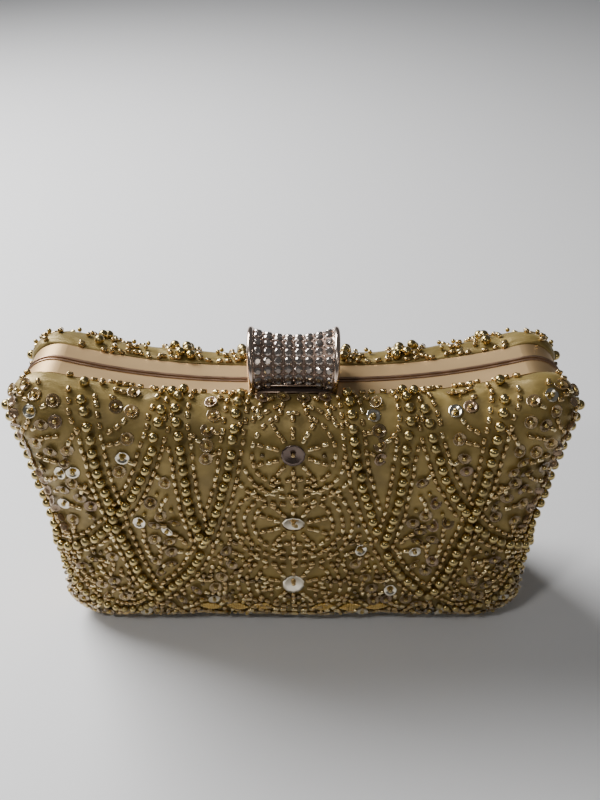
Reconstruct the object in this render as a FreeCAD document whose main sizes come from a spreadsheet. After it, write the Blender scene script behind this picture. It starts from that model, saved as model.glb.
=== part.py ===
"""Evening bag: a hard-case clutch in two padded halves on a metal frame.

Millimetres. +X is the viewer's right, +Y goes away from the viewer, +Z is up.
The origin is the middle of the bottom, on the surface that the bag stands on.
The two halves meet at the plane y = 0 and turn on two butt hinges at the bottom.
"""
import FreeCAD, Part
import math
import os
import Sketcher

Vector = FreeCAD.Vector
Rotation = FreeCAD.Rotation
Placement = FreeCAD.Placement

# ---------------------------------------------------------------- driving dimensions

DRIVING = {
    # frame outline, seen from the front
    "seat_half_width": 18.0,       # flat middle of the top, under the clasp
    "seat_height": 109.0,
    "top_height": 119.0,           # highest point of the top corners
    "top_half_width": 101.5,
    "top_corner_radius": 12.0,
    "side_radius": 330.0,          # hollow curve of each side
    "bottom_half_width": 94.5,
    "bottom_corner_radius": 15.0,
    "bottom_height": 1.9,          # underside of the strips
    # frame strips
    "parting_gap": 0.6,
    "front_edge": 9.2,             # depth of the front strip's outer edge from y = 0
    "back_edge": 9.8,
    "strip_wall": 1.2,
    "flange_thickness": 1.0,
    "flange_inset": 4.7,
    # band inside the back strip that guides the front strip
    "band_clearance": 0.25,
    "band_wall": 0.8,
    "band_reach": 2.5,             # how far it stands into the front half
    "band_seat": 4.5,              # how far it lies under the back strip
    "band_foot_height": 22.0,      # it ends at this height on both sides
    "band_overlap": 0.3,           # tongue and root of the band overlap this much
    # layers of each half, from the outside in
    "cover_thickness": 0.8,
    "padding_thickness": 2.2,
    "shell_thickness": 1.4,
    "lining_thickness": 0.6,
    # dome sections: depth from y = 0, and inset from the frame outline
    "rim_inset": -0.3,
    "shoulder_depth": 14.0,
    "shoulder_inset": -2.2,
    "belly_depth": 20.0,
    "belly_inset": 0.0,
    "brow_depth": 25.5,
    "brow_inset": 6.0,
    "crown_depth": 28.0,
    "crown_inset": 14.0,
    "cap_depth": 29.5,
    "cap_inset": 26.0,
    # butt hinges
    "hinge_place": 60.0,
    "hinge_width": 16.0,
    "hinge_height": 2.0,           # height of the hinge axis
    "knuckle_radius": 1.8,
    "middle_knuckle": 7.8,
    "knuckle_gap": 0.2,
    "hinge_pin_radius": 0.8,
    "running_clearance": 0.05,
    "leaf_thickness": 0.8,
    "leaf_start": 2.1,
    "leaf_end_gap": 0.1,           # from the leaf's far end to the flange
    "web_rise": 0.9,               # the webs start this much above the hinge axis
    "web_overlap": 0.5,
    "hinge_rivet_depth": 5.5,
    "notch_depth": 3.0,
    "notch_clearance": 0.4,
    # rivets
    "rivet_radius": 0.7,
    "rivet_head_radius": 1.3,
    "rivet_head_height": 0.5,
    "hole_overrun": 1.0,           # drills run this far past both faces
    # clasp lever
    "spool_height": 117.7,         # height of the spool's axis, at y = 0
    "spool_waist": 9.2,
    "spool_rim": 11.9,
    "spool_wall": 1.5,
    "spool_half_width": 16.0,      # to the middle of each rim, at the top
    "spool_foot_width": 14.9,      # the same at the ends of the wrap
    "rim_tube_radius": 1.1,
    "relief_gap": 0.3,             # space between the clasp and the front cover
    "relief_half_width": 17.6,
    "lip_front": 9.3,              # depth of the finger lip's front face
    "lip_back": 6.3,
    "lip_foot": 110.6,             # height of its underside
    "lip_height": 1.6,
    # clasp pivot
    "pivot_depth": 6.5,
    "pivot_height": 114.0,
    "clasp_pin_radius": 1.0,
    "clasp_pin_end": 0.3,          # how far the pin stands out of each cheek
    "cheek_place": 11.0,
    "cheek_thickness": 1.2,
    "cheek_bite": 0.6,             # how far a cheek reaches into the spool's wall
    "cheek_front": 3.1,            # the cheek starts this far in front of the pivot
    "cheek_below": 1.4,            # and this far below it
    "boss_radius": 2.2,
    "bracket_thickness": 0.8,
    "bracket_place": 9.2,
    "bracket_half_width": 9.6,
    "bracket_front": 3.5,          # the base reaches this far before the pivot
    "bracket_back": 2.9,
    "ear_radius": 2.0,
    "bracket_rivet_depth": 7.0,
    "bracket_rivet_place": 4.3,
    # stones
    "stone_radius": 1.45,
    "stone_pitch": 3.75,
    "stone_seat": 0.5,
    "stone_crown": 0.7,
    "stone_table": 0.84,           # radius of the flat top
    "stone_girdle": 0.1,
    # hook and catch
    "hook_half_width": 6.0,
    "hook_wall": 0.9,
    "hook_rivet_place": 3.6,
    "hook_rivet_bite": 0.12,       # how far its head sinks into the curved strip
    "catch_half_width": 12.5,
    "catch_thickness": 0.6,
    "catch_front_gap": 0.5,
    "catch_back_gap": 0.3,
    "catch_rivet_depth": 5.1,
    "catch_rivet_place": 9.0,
    "ridge_rise": 0.4,
    "ridge_front": 1.6,
    "ridge_back": 0.8,
    "ridge_side": 1.0,             # it runs this far past the hook on both sides
    # lugs for a shoulder chain
    "lug_place": 84.0,
    "lug_height": 92.0,
    "lug_eye_radius": 1.75,
    "lug_radius": 3.6,
    "lug_thickness": 1.2,
    "lug_tab_half_width": 2.2,
    "lug_tab_rise": 7.0,           # from the eye to its rivet
    "lug_tab_top": 2.0,            # from the rivet to the tab's end
}

document = FreeCAD.newDocument("evening_bag")
sheet = document.addObject("Spreadsheet::Sheet", "sizes")
for row, (alias, number) in enumerate(DRIVING.items(), start=1):
    sheet.set(f"A{row}", alias)
    sheet.set(f"B{row}", str(number))
    sheet.setAlias(f"B{row}", alias)
document.recompute()


class Dim:
    """A number together with the spreadsheet expression that gives it."""

    def __init__(self, number, text):
        self.number = number
        self.text = text

    def __float__(self):
        return float(self.number)

    def __neg__(self):
        return Dim(-self.number, f"(0 - {self.text})")

    def __add__(self, other):
        other = dim(other)
        return Dim(self.number + other.number, f"({self.text} + {other.text})")

    def __sub__(self, other):
        other = dim(other)
        return Dim(self.number - other.number, f"({self.text} - {other.text})")

    def __mul__(self, other):
        other = dim(other)
        return Dim(self.number * other.number, f"({self.text} * {other.text})")

    def __truediv__(self, other):
        other = dim(other)
        return Dim(self.number / other.number, f"({self.text} / {other.text})")

    def __radd__(self, other):
        return dim(other) + self

    def __rsub__(self, other):
        return dim(other) - self

    def __rmul__(self, other):
        return dim(other) * self


def dim(value):
    """A Dim from a sheet alias, a plain number or a Dim."""
    if isinstance(value, Dim):
        return value
    if isinstance(value, str):
        return Dim(DRIVING[value], f"sizes.{value}")
    return Dim(float(value), f"({float(value):.6f})")


def bind(item, prop, value):
    """Ties a property to the sheet."""
    item.setExpression(prop, dim(value).text)


# ---------------------------------------------------------------- small builders

def place_at(item, x, y, z):
    """Binds a primitive's corner or base to the sheet."""
    bind(item, ".Placement.Base.x", x)
    bind(item, ".Placement.Base.y", y)
    bind(item, ".Placement.Base.z", z)


def box(name, low, high):
    """A block between two corners, each a triple of Dims or numbers."""
    item = document.addObject("Part::Box", name)
    for prop, start, end in zip(("Length", "Width", "Height"), low, high):
        bind(item, prop, dim(end) - start)
    place_at(item, *low)
    return item


def rod(name, base, radius, length, axis=Vector(0, 0, 1)):
    """A cylinder that starts at base and runs along axis."""
    item = document.addObject("Part::Cylinder", name)
    bind(item, "Radius", radius)
    bind(item, "Height", length)
    item.Placement.Rotation = Rotation(Vector(0, 0, 1), axis)
    place_at(item, *base)
    return item


def fuse(name, items):
    item = document.addObject("Part::MultiFuse", name)
    item.Shapes = items
    return item


def cut(name, base, tools):
    """base less every tool."""
    item = document.addObject("Part::Cut", name)
    item.Base = base
    item.Tool = tools[0] if len(tools) == 1 else fuse(f"{name}_tools", tools)
    return item


def common(name, items):
    item = document.addObject("Part::MultiCommon", name)
    item.Shapes = items
    return item


def group(name, items):
    """Several separate solids in one node."""
    item = document.addObject("Part::Compound", name)
    item.Links = items
    return item


def mirror(name, source, normal, base=None):
    item = document.addObject("Part::Mirroring", name)
    item.Source = source
    item.Normal = normal
    if base is not None:
        bind(item, ".Base.y", base)
    return item


FAR = 150               # past the outside of the bag, for cutting blocks
X_AXIS = Vector(1, 0, 0)
Y_AXIS = Vector(0, 1, 0)
Z_AXIS = Vector(0, 0, 1)


# ---------------------------------------------------------------- frame outline

def tangent_point(centre, radius, toward):
    """The point of a circle that faces another centre."""
    return centre + (toward - centre).normalize() * radius


def side_centre(top, reach_top, low, reach_low):
    """The outer centre at given distances from the two corner centres of a side."""
    span = low - top
    along = (span.Length ** 2 + reach_top ** 2 - reach_low ** 2) / (2 * span.Length)
    across = math.sqrt(reach_top ** 2 - along ** 2)
    unit = span.normalize()
    return top + unit * along + Vector(-unit.y, unit.x, 0) * across


def outline(sketch, inset, parallel):
    """Adds one closed frame outline, set in by inset, to a sketch.

    A parallel outline keeps the corner centres and changes the radii. The other
    kind keeps the corner radii and moves the centres, for deep insets.
    """
    inset = dim(inset)
    moved = dim(0) if parallel else inset
    shrink = inset if parallel else dim(0)
    seat_x = dim("seat_half_width")
    seat_z = dim("seat_height") - inset
    floor_z = dim("bottom_height") + inset
    top_r = dim("top_corner_radius") - shrink
    low_r = dim("bottom_corner_radius") - shrink
    side_r = dim("side_radius") + shrink
    top_x = dim("top_half_width") - "top_corner_radius" - moved
    top_z = dim("top_height") - "top_corner_radius" - moved
    low_x = dim("bottom_half_width") - "bottom_corner_radius" - moved
    low_z = dim("bottom_height") + "bottom_corner_radius" + moved

    top = Vector(float(top_x), float(top_z), 0)
    low = Vector(float(low_x), float(low_z), 0)
    run = float(top_x - seat_x)
    rise = float(seat_z - top_z)
    brow_r = (run ** 2 + rise ** 2 - float(top_r) ** 2) / (2 * (float(top_r) - rise))
    brow = Vector(float(seat_x), float(seat_z) + brow_r, 0)
    side = side_centre(top, float(side_r + top_r), low, float(side_r + low_r))

    seat_end = Vector(float(seat_x), float(seat_z), 0)
    brow_end = tangent_point(brow, brow_r, top)
    side_top = tangent_point(side, float(side_r), top)
    side_low = tangent_point(side, float(side_r), low)
    floor_end = Vector(float(low_x), float(floor_z), 0)

    def arc(centre, radius, start, end):
        """An arc drawn anticlockwise from start to end."""
        first = math.atan2(start.y - centre.y, start.x - centre.x)
        last = math.atan2(end.y - centre.y, end.x - centre.x)
        circle = Part.Circle(centre, Z_AXIS, radius)
        if last < first:
            last += 2 * math.pi
        return sketch.addGeometry(Part.ArcOfCircle(circle, first, last), False)

    def flip(point):
        return Vector(-point.x, point.y, 0)

    def hold(kind, *where_and_value):
        """A dimension tied to the sheet."""
        where, value = where_and_value[:-1], dim(where_and_value[-1])
        index = sketch.addConstraint(Sketcher.Constraint(kind, *where, float(value)))
        name = f"size_{index}"
        sketch.renameConstraint(index, name)
        bind(sketch, f"Constraints.{name}", value)

    def join(first, first_end, second, second_end):
        sketch.addConstraint(
            Sketcher.Constraint("Tangent", first, first_end, second, second_end))

    start, end, centre = 1, 2, 3
    seat = sketch.addGeometry(Part.LineSegment(flip(seat_end), seat_end), False)
    floor = sketch.addGeometry(Part.LineSegment(flip(floor_end), floor_end), False)
    sketch.addConstraint(Sketcher.Constraint("Horizontal", seat))
    sketch.addConstraint(Sketcher.Constraint("Horizontal", floor))
    hold("DistanceY", -1, 1, seat, end, seat_z)
    hold("DistanceX", -1, 1, seat, end, seat_x)
    hold("DistanceX", seat, start, -1, 1, seat_x)
    hold("DistanceY", -1, 1, floor, end, floor_z)

    right = (
        arc(brow, brow_r, seat_end, brow_end),
        arc(top, float(top_r), side_top, brow_end),
        arc(side, float(side_r), side_top, side_low),
        arc(low, float(low_r), floor_end, side_low),
    )
    left = (
        arc(flip(brow), brow_r, flip(brow_end), flip(seat_end)),
        arc(flip(top), float(top_r), flip(brow_end), flip(side_top)),
        arc(flip(side), float(side_r), flip(side_low), flip(side_top)),
        arc(flip(low), float(low_r), flip(side_low), flip(floor_end)),
    )
    for arcs, ends in ((right, (start, end)), (left, (end, start))):
        one, two = ends
        arc_brow, arc_top, arc_side, arc_low = arcs
        join(seat, end if arcs is right else start, arc_brow, one)
        join(arc_brow, two, arc_top, two)
        join(arc_top, one, arc_side, one)
        join(arc_side, two, arc_low, two)
        join(arc_low, one, floor, end if arcs is right else start)
        hold("Radius", arc_top, top_r)
        hold("Radius", arc_side, side_r)
        hold("Radius", arc_low, low_r)
        hold("DistanceY", -1, 1, arc_top, centre, top_z)
        if arcs is right:
            hold("DistanceX", -1, 1, arc_top, centre, top_x)
            hold("DistanceX", -1, 1, arc_low, centre, low_x)
        else:
            hold("DistanceX", arc_top, centre, -1, 1, top_x)
            hold("DistanceX", arc_low, centre, -1, 1, low_x)


def body_plane(body, role):
    return next(plane for plane in body.Origin.OriginFeatures if plane.Role == role)


def front_sketch(body, name, depth):
    """A sketch parallel to the XZ plane, at y = -depth."""
    sketch = body.newObject("Sketcher::SketchObject", name)
    sketch.AttachmentSupport = [(body_plane(body, "XZ_Plane"), "")]
    sketch.MapMode = "FlatFace"
    bind(sketch, ".AttachmentOffset.Base.z", depth)
    return sketch


def outline_sketch(body, name, depth, insets, parallel=True):
    sketch = front_sketch(body, name, depth)
    for inset in insets:
        outline(sketch, inset, parallel)
    return sketch


def extrude(body, kind, sketch, length, toward_back):
    """A Pad or Pocket; toward_back makes it run along +Y."""
    feature = body.newObject(f"PartDesign::{kind}", f"{sketch.Name}_{kind.lower()}")
    feature.Profile = sketch
    bind(feature, "Length", length)
    pad = kind == "Pad"
    feature.Reversed = toward_back if pad else not toward_back
    document.recompute()
    return feature


def new_body(name):
    body = document.addObject("PartDesign::Body", name)
    body.Label = name
    return body


# ---------------------------------------------------------------- frame strips

def strip_body(name, parting, edge):
    """One frame strip: an L section, bent to the outline, with its wall outside.

    parting and edge are depths on the half's own side: positive is towards -Y.
    """
    body = new_body(name)
    width = dim("front_edge" if float(edge) > 0 else "back_edge") - dim("parting_gap") / 2
    back = float(edge) < 0
    stock = outline_sketch(body, f"{name}_stock", parting, [0])
    extrude(body, "Pad", stock, width, toward_back=back)
    mouth = outline_sketch(body, f"{name}_mouth", parting, ["flange_inset"])
    extrude(body, "Pocket", mouth, width, toward_back=back)
    bore = outline_sketch(body, f"{name}_inside", parting, ["strip_wall"])
    extrude(body, "Pocket", bore, width - "flange_thickness", toward_back=back)
    return body


LEAF_BASE = dim("bottom_height") + "strip_wall"
LEAF_TOP = LEAF_BASE + "leaf_thickness"


def hinge_notches(name):
    """Clearance for the knuckles in both strips."""
    reach = dim("hinge_width") / 2 + "notch_clearance"
    blocks = []
    for side in (-1, 1):
        middle = dim("hinge_place") * side
        blocks.append(box(
            f"{name}_{'left' if side < 0 else 'right'}",
            (middle - reach, -dim("notch_depth"), 0),
            (middle + reach, "notch_depth", LEAF_BASE + "hole_overrun")))
    return blocks


def hinge_rivet_places(side):
    """The x places of one leaf's two rivets."""
    middle = dim("hinge_place") * side
    offset = dim("hinge_width") / 4
    return (middle - offset, middle + offset)


HINGE_RIVET_DEPTH = dim("hinge_rivet_depth")


OVERRUNS = dim("hole_overrun") * 2


def rivet(name, x, y, low, high, tail_only=False):
    """An upright rivet that grips from low to high, with a head at each end."""
    parts = [
        rod(f"{name}_shank", (x, y, low), "rivet_radius", dim(high) - low),
        rod(f"{name}_tail", (x, y, dim(low) - "rivet_head_height"),
            "rivet_head_radius", "rivet_head_height"),
    ]
    if not tail_only:
        parts.append(rod(f"{name}_head", (x, y, high), "rivet_head_radius",
                         "rivet_head_height"))
    return fuse(name, parts)


def rivet_hole(name, x, y, low, high):
    return rod(name, (x, y, dim(low) - "hole_overrun"), "rivet_radius",
               dim(high) - low + OVERRUNS)


def hinge_rivet_holes(name, toward_front):
    depth = -HINGE_RIVET_DEPTH if toward_front else HINGE_RIVET_DEPTH
    return [
        rivet_hole(f"{name}_{side + 1}_{number}", x, depth, "bottom_height", LEAF_TOP)
        for side in (-1, 1)
        for number, x in enumerate(hinge_rivet_places(side))
    ]


SEAT = dim("seat_height")
SEAT_UNDERSIDE = SEAT - "strip_wall"
CATCH_TOP = SEAT + "catch_thickness"
BRACKET_TOP = SEAT + "bracket_thickness"
CATCH_RIVET_DEPTH = dim("catch_rivet_depth")
CATCH_RIVET_X = dim("catch_rivet_place")
BRACKET_RIVET_DEPTH = dim("bracket_rivet_depth")
BRACKET_RIVET_X = dim("bracket_rivet_place")
LUG_X = dim("lug_place")


def lug_rivet_holes(radius):
    """Holes through the back flange for the chain lugs."""
    depth = dim("back_edge") - "flange_thickness" - "lug_thickness" - "hole_overrun"
    length = dim("flange_thickness") + "lug_thickness" + OVERRUNS
    return [
        rod(f"lug_hole_{number}", (LUG_X * side, depth, LUG_FOOT_Z), radius, length, Y_AXIS)
        for number, side in enumerate((-1, 1))
    ]


# ---------------------------------------------------------------- domed halves

# depth, inset, share of a layer's thickness that goes sideways, and share inwards
DOME = (
    ("front_edge", "rim_inset", 1.0, 0.0),
    ("shoulder_depth", "shoulder_inset", 1.0, 0.0),
    ("belly_depth", "belly_inset", 0.95, 0.3),
    ("brow_depth", "brow_inset", 0.75, 0.65),
    ("crown_depth", "crown_inset", 0.4, 0.92),
    ("cap_depth", "cap_inset", 0.0, 1.0),
)


def dome_loft(body, name, offset, kind):
    """A loft through the dome sections, set in by offset all over."""
    sketches = [
        outline_sketch(body, f"{name}_{number}", dim(depth) - offset * inward,
                       [dim(inset) + offset * sideways], parallel=False)
        for number, (depth, inset, sideways, inward) in enumerate(DOME)
    ]
    document.recompute()
    loft = body.newObject(f"PartDesign::{kind}", f"{name}_loft")
    loft.Profile = sketches[0]
    loft.Sections = sketches[1:]
    loft.Ruled = False
    document.recompute()
    return loft


def layer(name, outside, thickness):
    """One layer of the front half: cover, padding, shell or lining."""
    body = new_body(name)
    dome_loft(body, f"{name}_outer", outside, "AdditiveLoft")
    dome_loft(body, f"{name}_inner", outside + thickness, "SubtractiveLoft")
    return body


def back_copy(name, front_node):
    """The same layer of the back half, which stands on the wider back strip."""
    plane = (dim("back_edge") - "front_edge") / 2
    return mirror(name, front_node, Y_AXIS, plane)


def clasp_relief():
    """The space that the clasp's rims need at the top of the front cover."""
    return rod("clasp_relief", (-dim("relief_half_width"), 0, "spool_height"),
               dim("spool_rim") + "rim_tube_radius" + "relief_gap",
               dim("relief_half_width") * 2, X_AXIS)


def build_layers():
    """Cover, padding, shell and lining of both halves."""
    nodes = {}
    outside = dim(0)
    for part, thickness in (("cover", "cover_thickness"), ("padding", "padding_thickness"),
                            ("shell", "shell_thickness"), ("lining", "lining_thickness")):
        if part == "cover":
            stock = layer("front_cover_stock", outside, thickness)
            below = box("below_floor", (-FAR, -FAR, -FAR), (FAR, 0, 0))
            whole = cut("front_cover_whole", stock, [below])
            nodes["front_cover"] = cut("front_cover", whole, [clasp_relief()])
        else:
            whole = layer(f"front_{part}", outside, thickness)
            nodes[f"front_{part}"] = whole
        nodes[f"back_{part}"] = back_copy(f"back_{part}", whole)
        outside = outside + thickness
    return nodes


# ---------------------------------------------------------------- hinges

def hinge_leaf(name, side, toward_front):
    """One leaf: its knuckles, a plate on the strip, and webs between the two."""
    sign = -1 if toward_front else 1
    middle = dim("hinge_place") * side
    half = dim("hinge_width") / 2
    inner = dim("middle_knuckle") / 2
    outer = inner + "knuckle_gap"
    if toward_front:
        spans = ((middle - half, middle - outer), (middle + outer, middle + half))
    else:
        spans = ((middle - inner, middle + inner),)
    plate_far = dim("front_edge") - "flange_thickness" - "leaf_end_gap"
    near, far = (-plate_far, -dim("leaf_start")) if toward_front else ("leaf_start", plate_far)
    parts = [box(f"{name}_plate", (middle - half, near, LEAF_BASE),
                 (middle + half, far, LEAF_TOP))]
    axis_z = dim("hinge_height")
    knuckle_top = axis_z + "knuckle_radius"
    bores = []
    for number, (start, end) in enumerate(spans):
        parts.append(rod(f"{name}_knuckle_{number}", (start, 0, axis_z), "knuckle_radius",
                         end - start, X_AXIS))
        reach = dim("leaf_start") + "web_overlap"
        web_low, web_high = (-reach, dim(0)) if sign < 0 else (dim(0), reach)
        parts.append(box(f"{name}_web_{number}", (start, web_low, axis_z + "web_rise"),
                         (end, web_high, knuckle_top)))
        slack = dim("running_clearance") if toward_front else dim(0)
        bores.append(rod(f"{name}_bore_{number}", (start - "hole_overrun", 0, axis_z),
                         dim("hinge_pin_radius") + slack, end - start + OVERRUNS, X_AXIS))
    depth = HINGE_RIVET_DEPTH * sign
    holes = [
        rivet_hole(f"{name}_hole_{number}", x, depth, "bottom_height", LEAF_TOP)
        for number, x in enumerate(hinge_rivet_places(side))
    ]
    return cut(name, fuse(f"{name}_stock", parts), bores + holes)


def build_hinges():
    nodes = {}
    front_rivets, back_rivets = [], []
    for side, word in ((-1, "left"), (1, "right")):
        for toward_front, half in ((True, "front"), (False, "back")):
            name = f"{word}_hinge_{half}_leaf"
            nodes[name] = hinge_leaf(name, side, toward_front)
            depth = -HINGE_RIVET_DEPTH if toward_front else HINGE_RIVET_DEPTH
            rivets = front_rivets if toward_front else back_rivets
            for number, x in enumerate(hinge_rivet_places(side)):
                rivets.append(rivet(f"{name}_rivet_{number}", x, depth, "bottom_height",
                                    LEAF_TOP))
        middle = dim("hinge_place") * side
        half_width = dim("hinge_width") / 2
        nodes[f"{word}_hinge_pin"] = rod(
            f"{word}_hinge_pin", (middle - half_width, 0, "hinge_height"),
            "hinge_pin_radius", "hinge_width", X_AXIS)
    nodes["hinge_front_rivets"] = group("hinge_front_rivets", front_rivets)
    nodes["hinge_back_rivets"] = group("hinge_back_rivets", back_rivets)
    return nodes


# ---------------------------------------------------------------- clasp lever

WRAP_FRONT = -40.0      # degrees below the horizontal where the spool ends in front
WRAP_BACK = 190.0       # and behind, measured over the top
WRAP_SECTIONS = 9
STONE_COLUMNS = 8
STONE_ROWS = 8
FIRST_ROW = -27.0
ROW_STEP = 20.0         # degrees between two rows of stones


def spool_half_width(angle):
    """Half width between the rims' middles: widest at the top."""
    lift = (math.sin(math.radians(angle)) + 1) / 2
    foot = DRIVING["spool_foot_width"]
    return foot + (DRIVING["spool_half_width"] - foot) * lift


def spool_arc_radius(half_width):
    """Radius of the hollow across the spool."""
    depth = DRIVING["spool_rim"] - DRIVING["spool_waist"]
    return (half_width ** 2 + depth ** 2) / (2 * depth)


def spool_surface(angle, x):
    """Distance from the spool's axis to its outer face."""
    radius = spool_arc_radius(spool_half_width(angle))
    return DRIVING["spool_waist"] + radius - math.sqrt(radius ** 2 - x ** 2)


def radial_sketch(body, name, angle):
    """A sketch in the plane through the spool's axis: x across, y away from it."""
    sketch = body.newObject("Sketcher::SketchObject", name)
    sketch.AttachmentSupport = [(body_plane(body, "XZ_Plane"), "")]
    sketch.MapMode = "FlatFace"
    sketch.AttachmentOffset = Placement(Vector(0, DRIVING["spool_height"], 0),
                                        Rotation(X_AXIS, 90 - angle))
    bind(sketch, ".AttachmentOffset.Base.y", "spool_height")
    return sketch


def spool_section(body, name, angle):
    """The hollow strip that the wall has at one angle."""
    sketch = radial_sketch(body, name, angle)
    half = spool_half_width(angle)
    wall = DRIVING["spool_wall"]
    waist = DRIVING["spool_waist"]
    rim = DRIVING["spool_rim"]
    outer = Part.Arc(Vector(-half, rim, 0), Vector(0, waist, 0), Vector(half, rim, 0))
    inner = Part.Arc(Vector(-half, rim - wall, 0), Vector(0, waist - wall, 0),
                     Vector(half, rim - wall, 0))
    for curve in (outer, inner):
        sketch.addGeometry(curve, False)
    for end in (-half, half):
        low, high = Vector(end, rim - wall, 0), Vector(end, rim, 0)
        sketch.addGeometry(Part.LineSegment(low, high), False)
    return sketch


def rim_section(body, name, angle, side):
    sketch = radial_sketch(body, name, angle)
    centre = Vector(side * spool_half_width(angle), DRIVING["spool_rim"], 0)
    sketch.addGeometry(Part.Circle(centre, Z_AXIS, DRIVING["rim_tube_radius"]), False)
    radius = sketch.addConstraint(Sketcher.Constraint("Radius", 0,
                                                      DRIVING["rim_tube_radius"]))
    sketch.renameConstraint(radius, "tube")
    bind(sketch, "Constraints.tube", "rim_tube_radius")
    return sketch


def wrap_angles():
    step = (WRAP_BACK - WRAP_FRONT) / (WRAP_SECTIONS - 1)
    return [WRAP_FRONT + step * number for number in range(WRAP_SECTIONS)]


def additive_loft(body, name, sketches):
    document.recompute()
    loft = body.newObject("PartDesign::AdditiveLoft", name)
    loft.Profile = sketches[0]
    loft.Sections = sketches[1:]
    document.recompute()
    return loft


def spool_body():
    """The wall of the spool and its two thick rims."""
    body = new_body("clasp_spool")
    wall = [spool_section(body, f"spool_wall_{number}", angle)
            for number, angle in enumerate(wrap_angles())]
    additive_loft(body, "spool_wall", wall)
    for word, side in (("left", -1), ("right", 1)):
        rim = [rim_section(body, f"spool_{word}_rim_{number}", angle, side)
               for number, angle in enumerate(wrap_angles())]
        additive_loft(body, f"spool_{word}_rim", rim)
    return body


def spool_direction(angle):
    """Unit vector away from the spool's axis at one angle."""
    turn = math.radians(angle)
    return Vector(0, -math.cos(turn), math.sin(turn))


def stone_places():
    """Position and outward direction of every stone on the hollow face."""
    places = []
    for row in range(STONE_ROWS):
        angle = FIRST_ROW + ROW_STEP * row
        half = spool_half_width(angle)
        pitch = DRIVING["stone_pitch"] * half / DRIVING["spool_half_width"]
        hollow = spool_arc_radius(half)
        for column in range(STONE_COLUMNS):
            x = (column - (STONE_COLUMNS - 1) / 2) * pitch
            outward = spool_direction(angle)
            point = Vector(x, 0, DRIVING["spool_height"]) + outward * spool_surface(angle, x)
            lean = x / hollow
            normal = outward * math.cos(lean) - X_AXIS * math.sin(lean)
            places.append(Placement(point, Rotation(Z_AXIS, normal)))
    return places


def shape_feature(name, shape):
    item = document.addObject("Part::Feature", name)
    item.Shape = shape
    return item


def stone_shapes():
    """Round faceted stones: a seat in the metal and a cone crown with a flat table."""
    radius = DRIVING["stone_radius"]
    seat = DRIVING["stone_seat"]
    crown = DRIVING["stone_crown"]
    table = DRIVING["stone_table"]
    girdle = DRIVING["stone_girdle"]
    profile = Part.makePolygon([
        Vector(0, 0, -seat), Vector(radius, 0, -seat), Vector(radius, 0, girdle),
        Vector(table, 0, crown), Vector(0, 0, crown), Vector(0, 0, -seat)])
    stone = Part.Face(profile).revolve(Vector(0, 0, 0), Z_AXIS, 360)
    return [stone.transformed(place.toMatrix()) for place in stone_places()]


def seat_shapes():
    """The drilled seats that hold the stones."""
    depth = DRIVING["stone_seat"]
    length = depth + DRIVING["rim_tube_radius"] * 3
    drill = Part.makeCylinder(DRIVING["stone_radius"], length, Vector(0, 0, -depth))
    return [drill.transformed(place.toMatrix()) for place in stone_places()]


def cheek(name, side):
    """The wall inside the spool that carries the lever on its pin."""
    start = dim("cheek_place") * side - dim("cheek_thickness") / 2
    disc = rod(f"{name}_disc", (start, 0, "spool_height"), dim("spool_waist") + "cheek_bite",
               "cheek_thickness", X_AXIS)
    window = box(f"{name}_window",
                 (start, dim("pivot_depth") - "cheek_front", dim("pivot_height") - "cheek_below"),
                 (start + "cheek_thickness", FAR, FAR))
    web = common(f"{name}_web", [disc, window])
    boss = rod(f"{name}_boss", (start, "pivot_depth", "pivot_height"), "boss_radius",
               "cheek_thickness", X_AXIS)
    return fuse(name, [web, boss])


def build_clasp():
    """Lever, stones, hook, pin, bracket and spring."""
    nodes = {}
    lip = box("clasp_lip", (-dim("spool_foot_width"), -dim("lip_front"), "lip_foot"),
              ("spool_foot_width", -dim("lip_back"), dim("lip_foot") + "lip_height"))
    stock = fuse("clasp_stock", [spool_body(), lip, cheek("left_cheek", -1),
                                 cheek("right_cheek", 1)])
    bore = rod("clasp_bore", (-FAR, "pivot_depth", "pivot_height"),
               dim("clasp_pin_radius") + "running_clearance", 2 * FAR, X_AXIS)
    seats = shape_feature("stone_seats", Part.makeCompound(seat_shapes()))
    hook_holes = [hook_rivet_rod(f"hook_hole_{number}", x, OVERRUNS)
                  for number, x in enumerate((-HOOK_RIVET_X, HOOK_RIVET_X))]
    document.recompute()
    drilled = cut("clasp_drilled", stock, [bore] + hook_holes)
    nodes["clasp_plate"] = cut("clasp_plate", drilled, [seats])
    nodes["clasp_rhinestones"] = shape_feature("clasp_rhinestones",
                                               Part.makeCompound(stone_shapes()))
    nodes["clasp_hook"] = clasp_hook(hook_holes)
    nodes["clasp_hook_rivets"] = hook_rivets()
    nodes["clasp_pin"] = rod("clasp_pin", (-PIN_HALF, "pivot_depth", "pivot_height"),
                             "clasp_pin_radius", PIN_HALF * 2, X_AXIS)
    nodes.update(build_bracket())
    nodes["clasp_spring"] = clasp_spring()
    return nodes


PIN_HALF = dim("cheek_place") + dim("cheek_thickness") / 2 + "clasp_pin_end"
HOOK_FRONT = 15.0       # degrees below the horizontal where the hook strip starts
HOOK_TIP = 74.0
HOOK_RIVET_ANGLE = 25.0
HOOK_RIVET_X = DRIVING["hook_rivet_place"]


def hook_sector(radius, start, sweep, half_width, name):
    """A pie slice about the spool's axis, open towards the front."""
    item = document.addObject("Part::Cylinder", name)
    bind(item, "Radius", radius)
    bind(item, "Height", half_width * 2)
    item.Angle = sweep
    turn = Rotation(X_AXIS, 180 + start)
    item.Placement = Placement(Vector(0, 0, 0), turn * Rotation(Y_AXIS, 90) * Rotation(Z_AXIS, 90))
    place_at(item, -half_width, 0, "spool_height")
    return item


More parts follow.
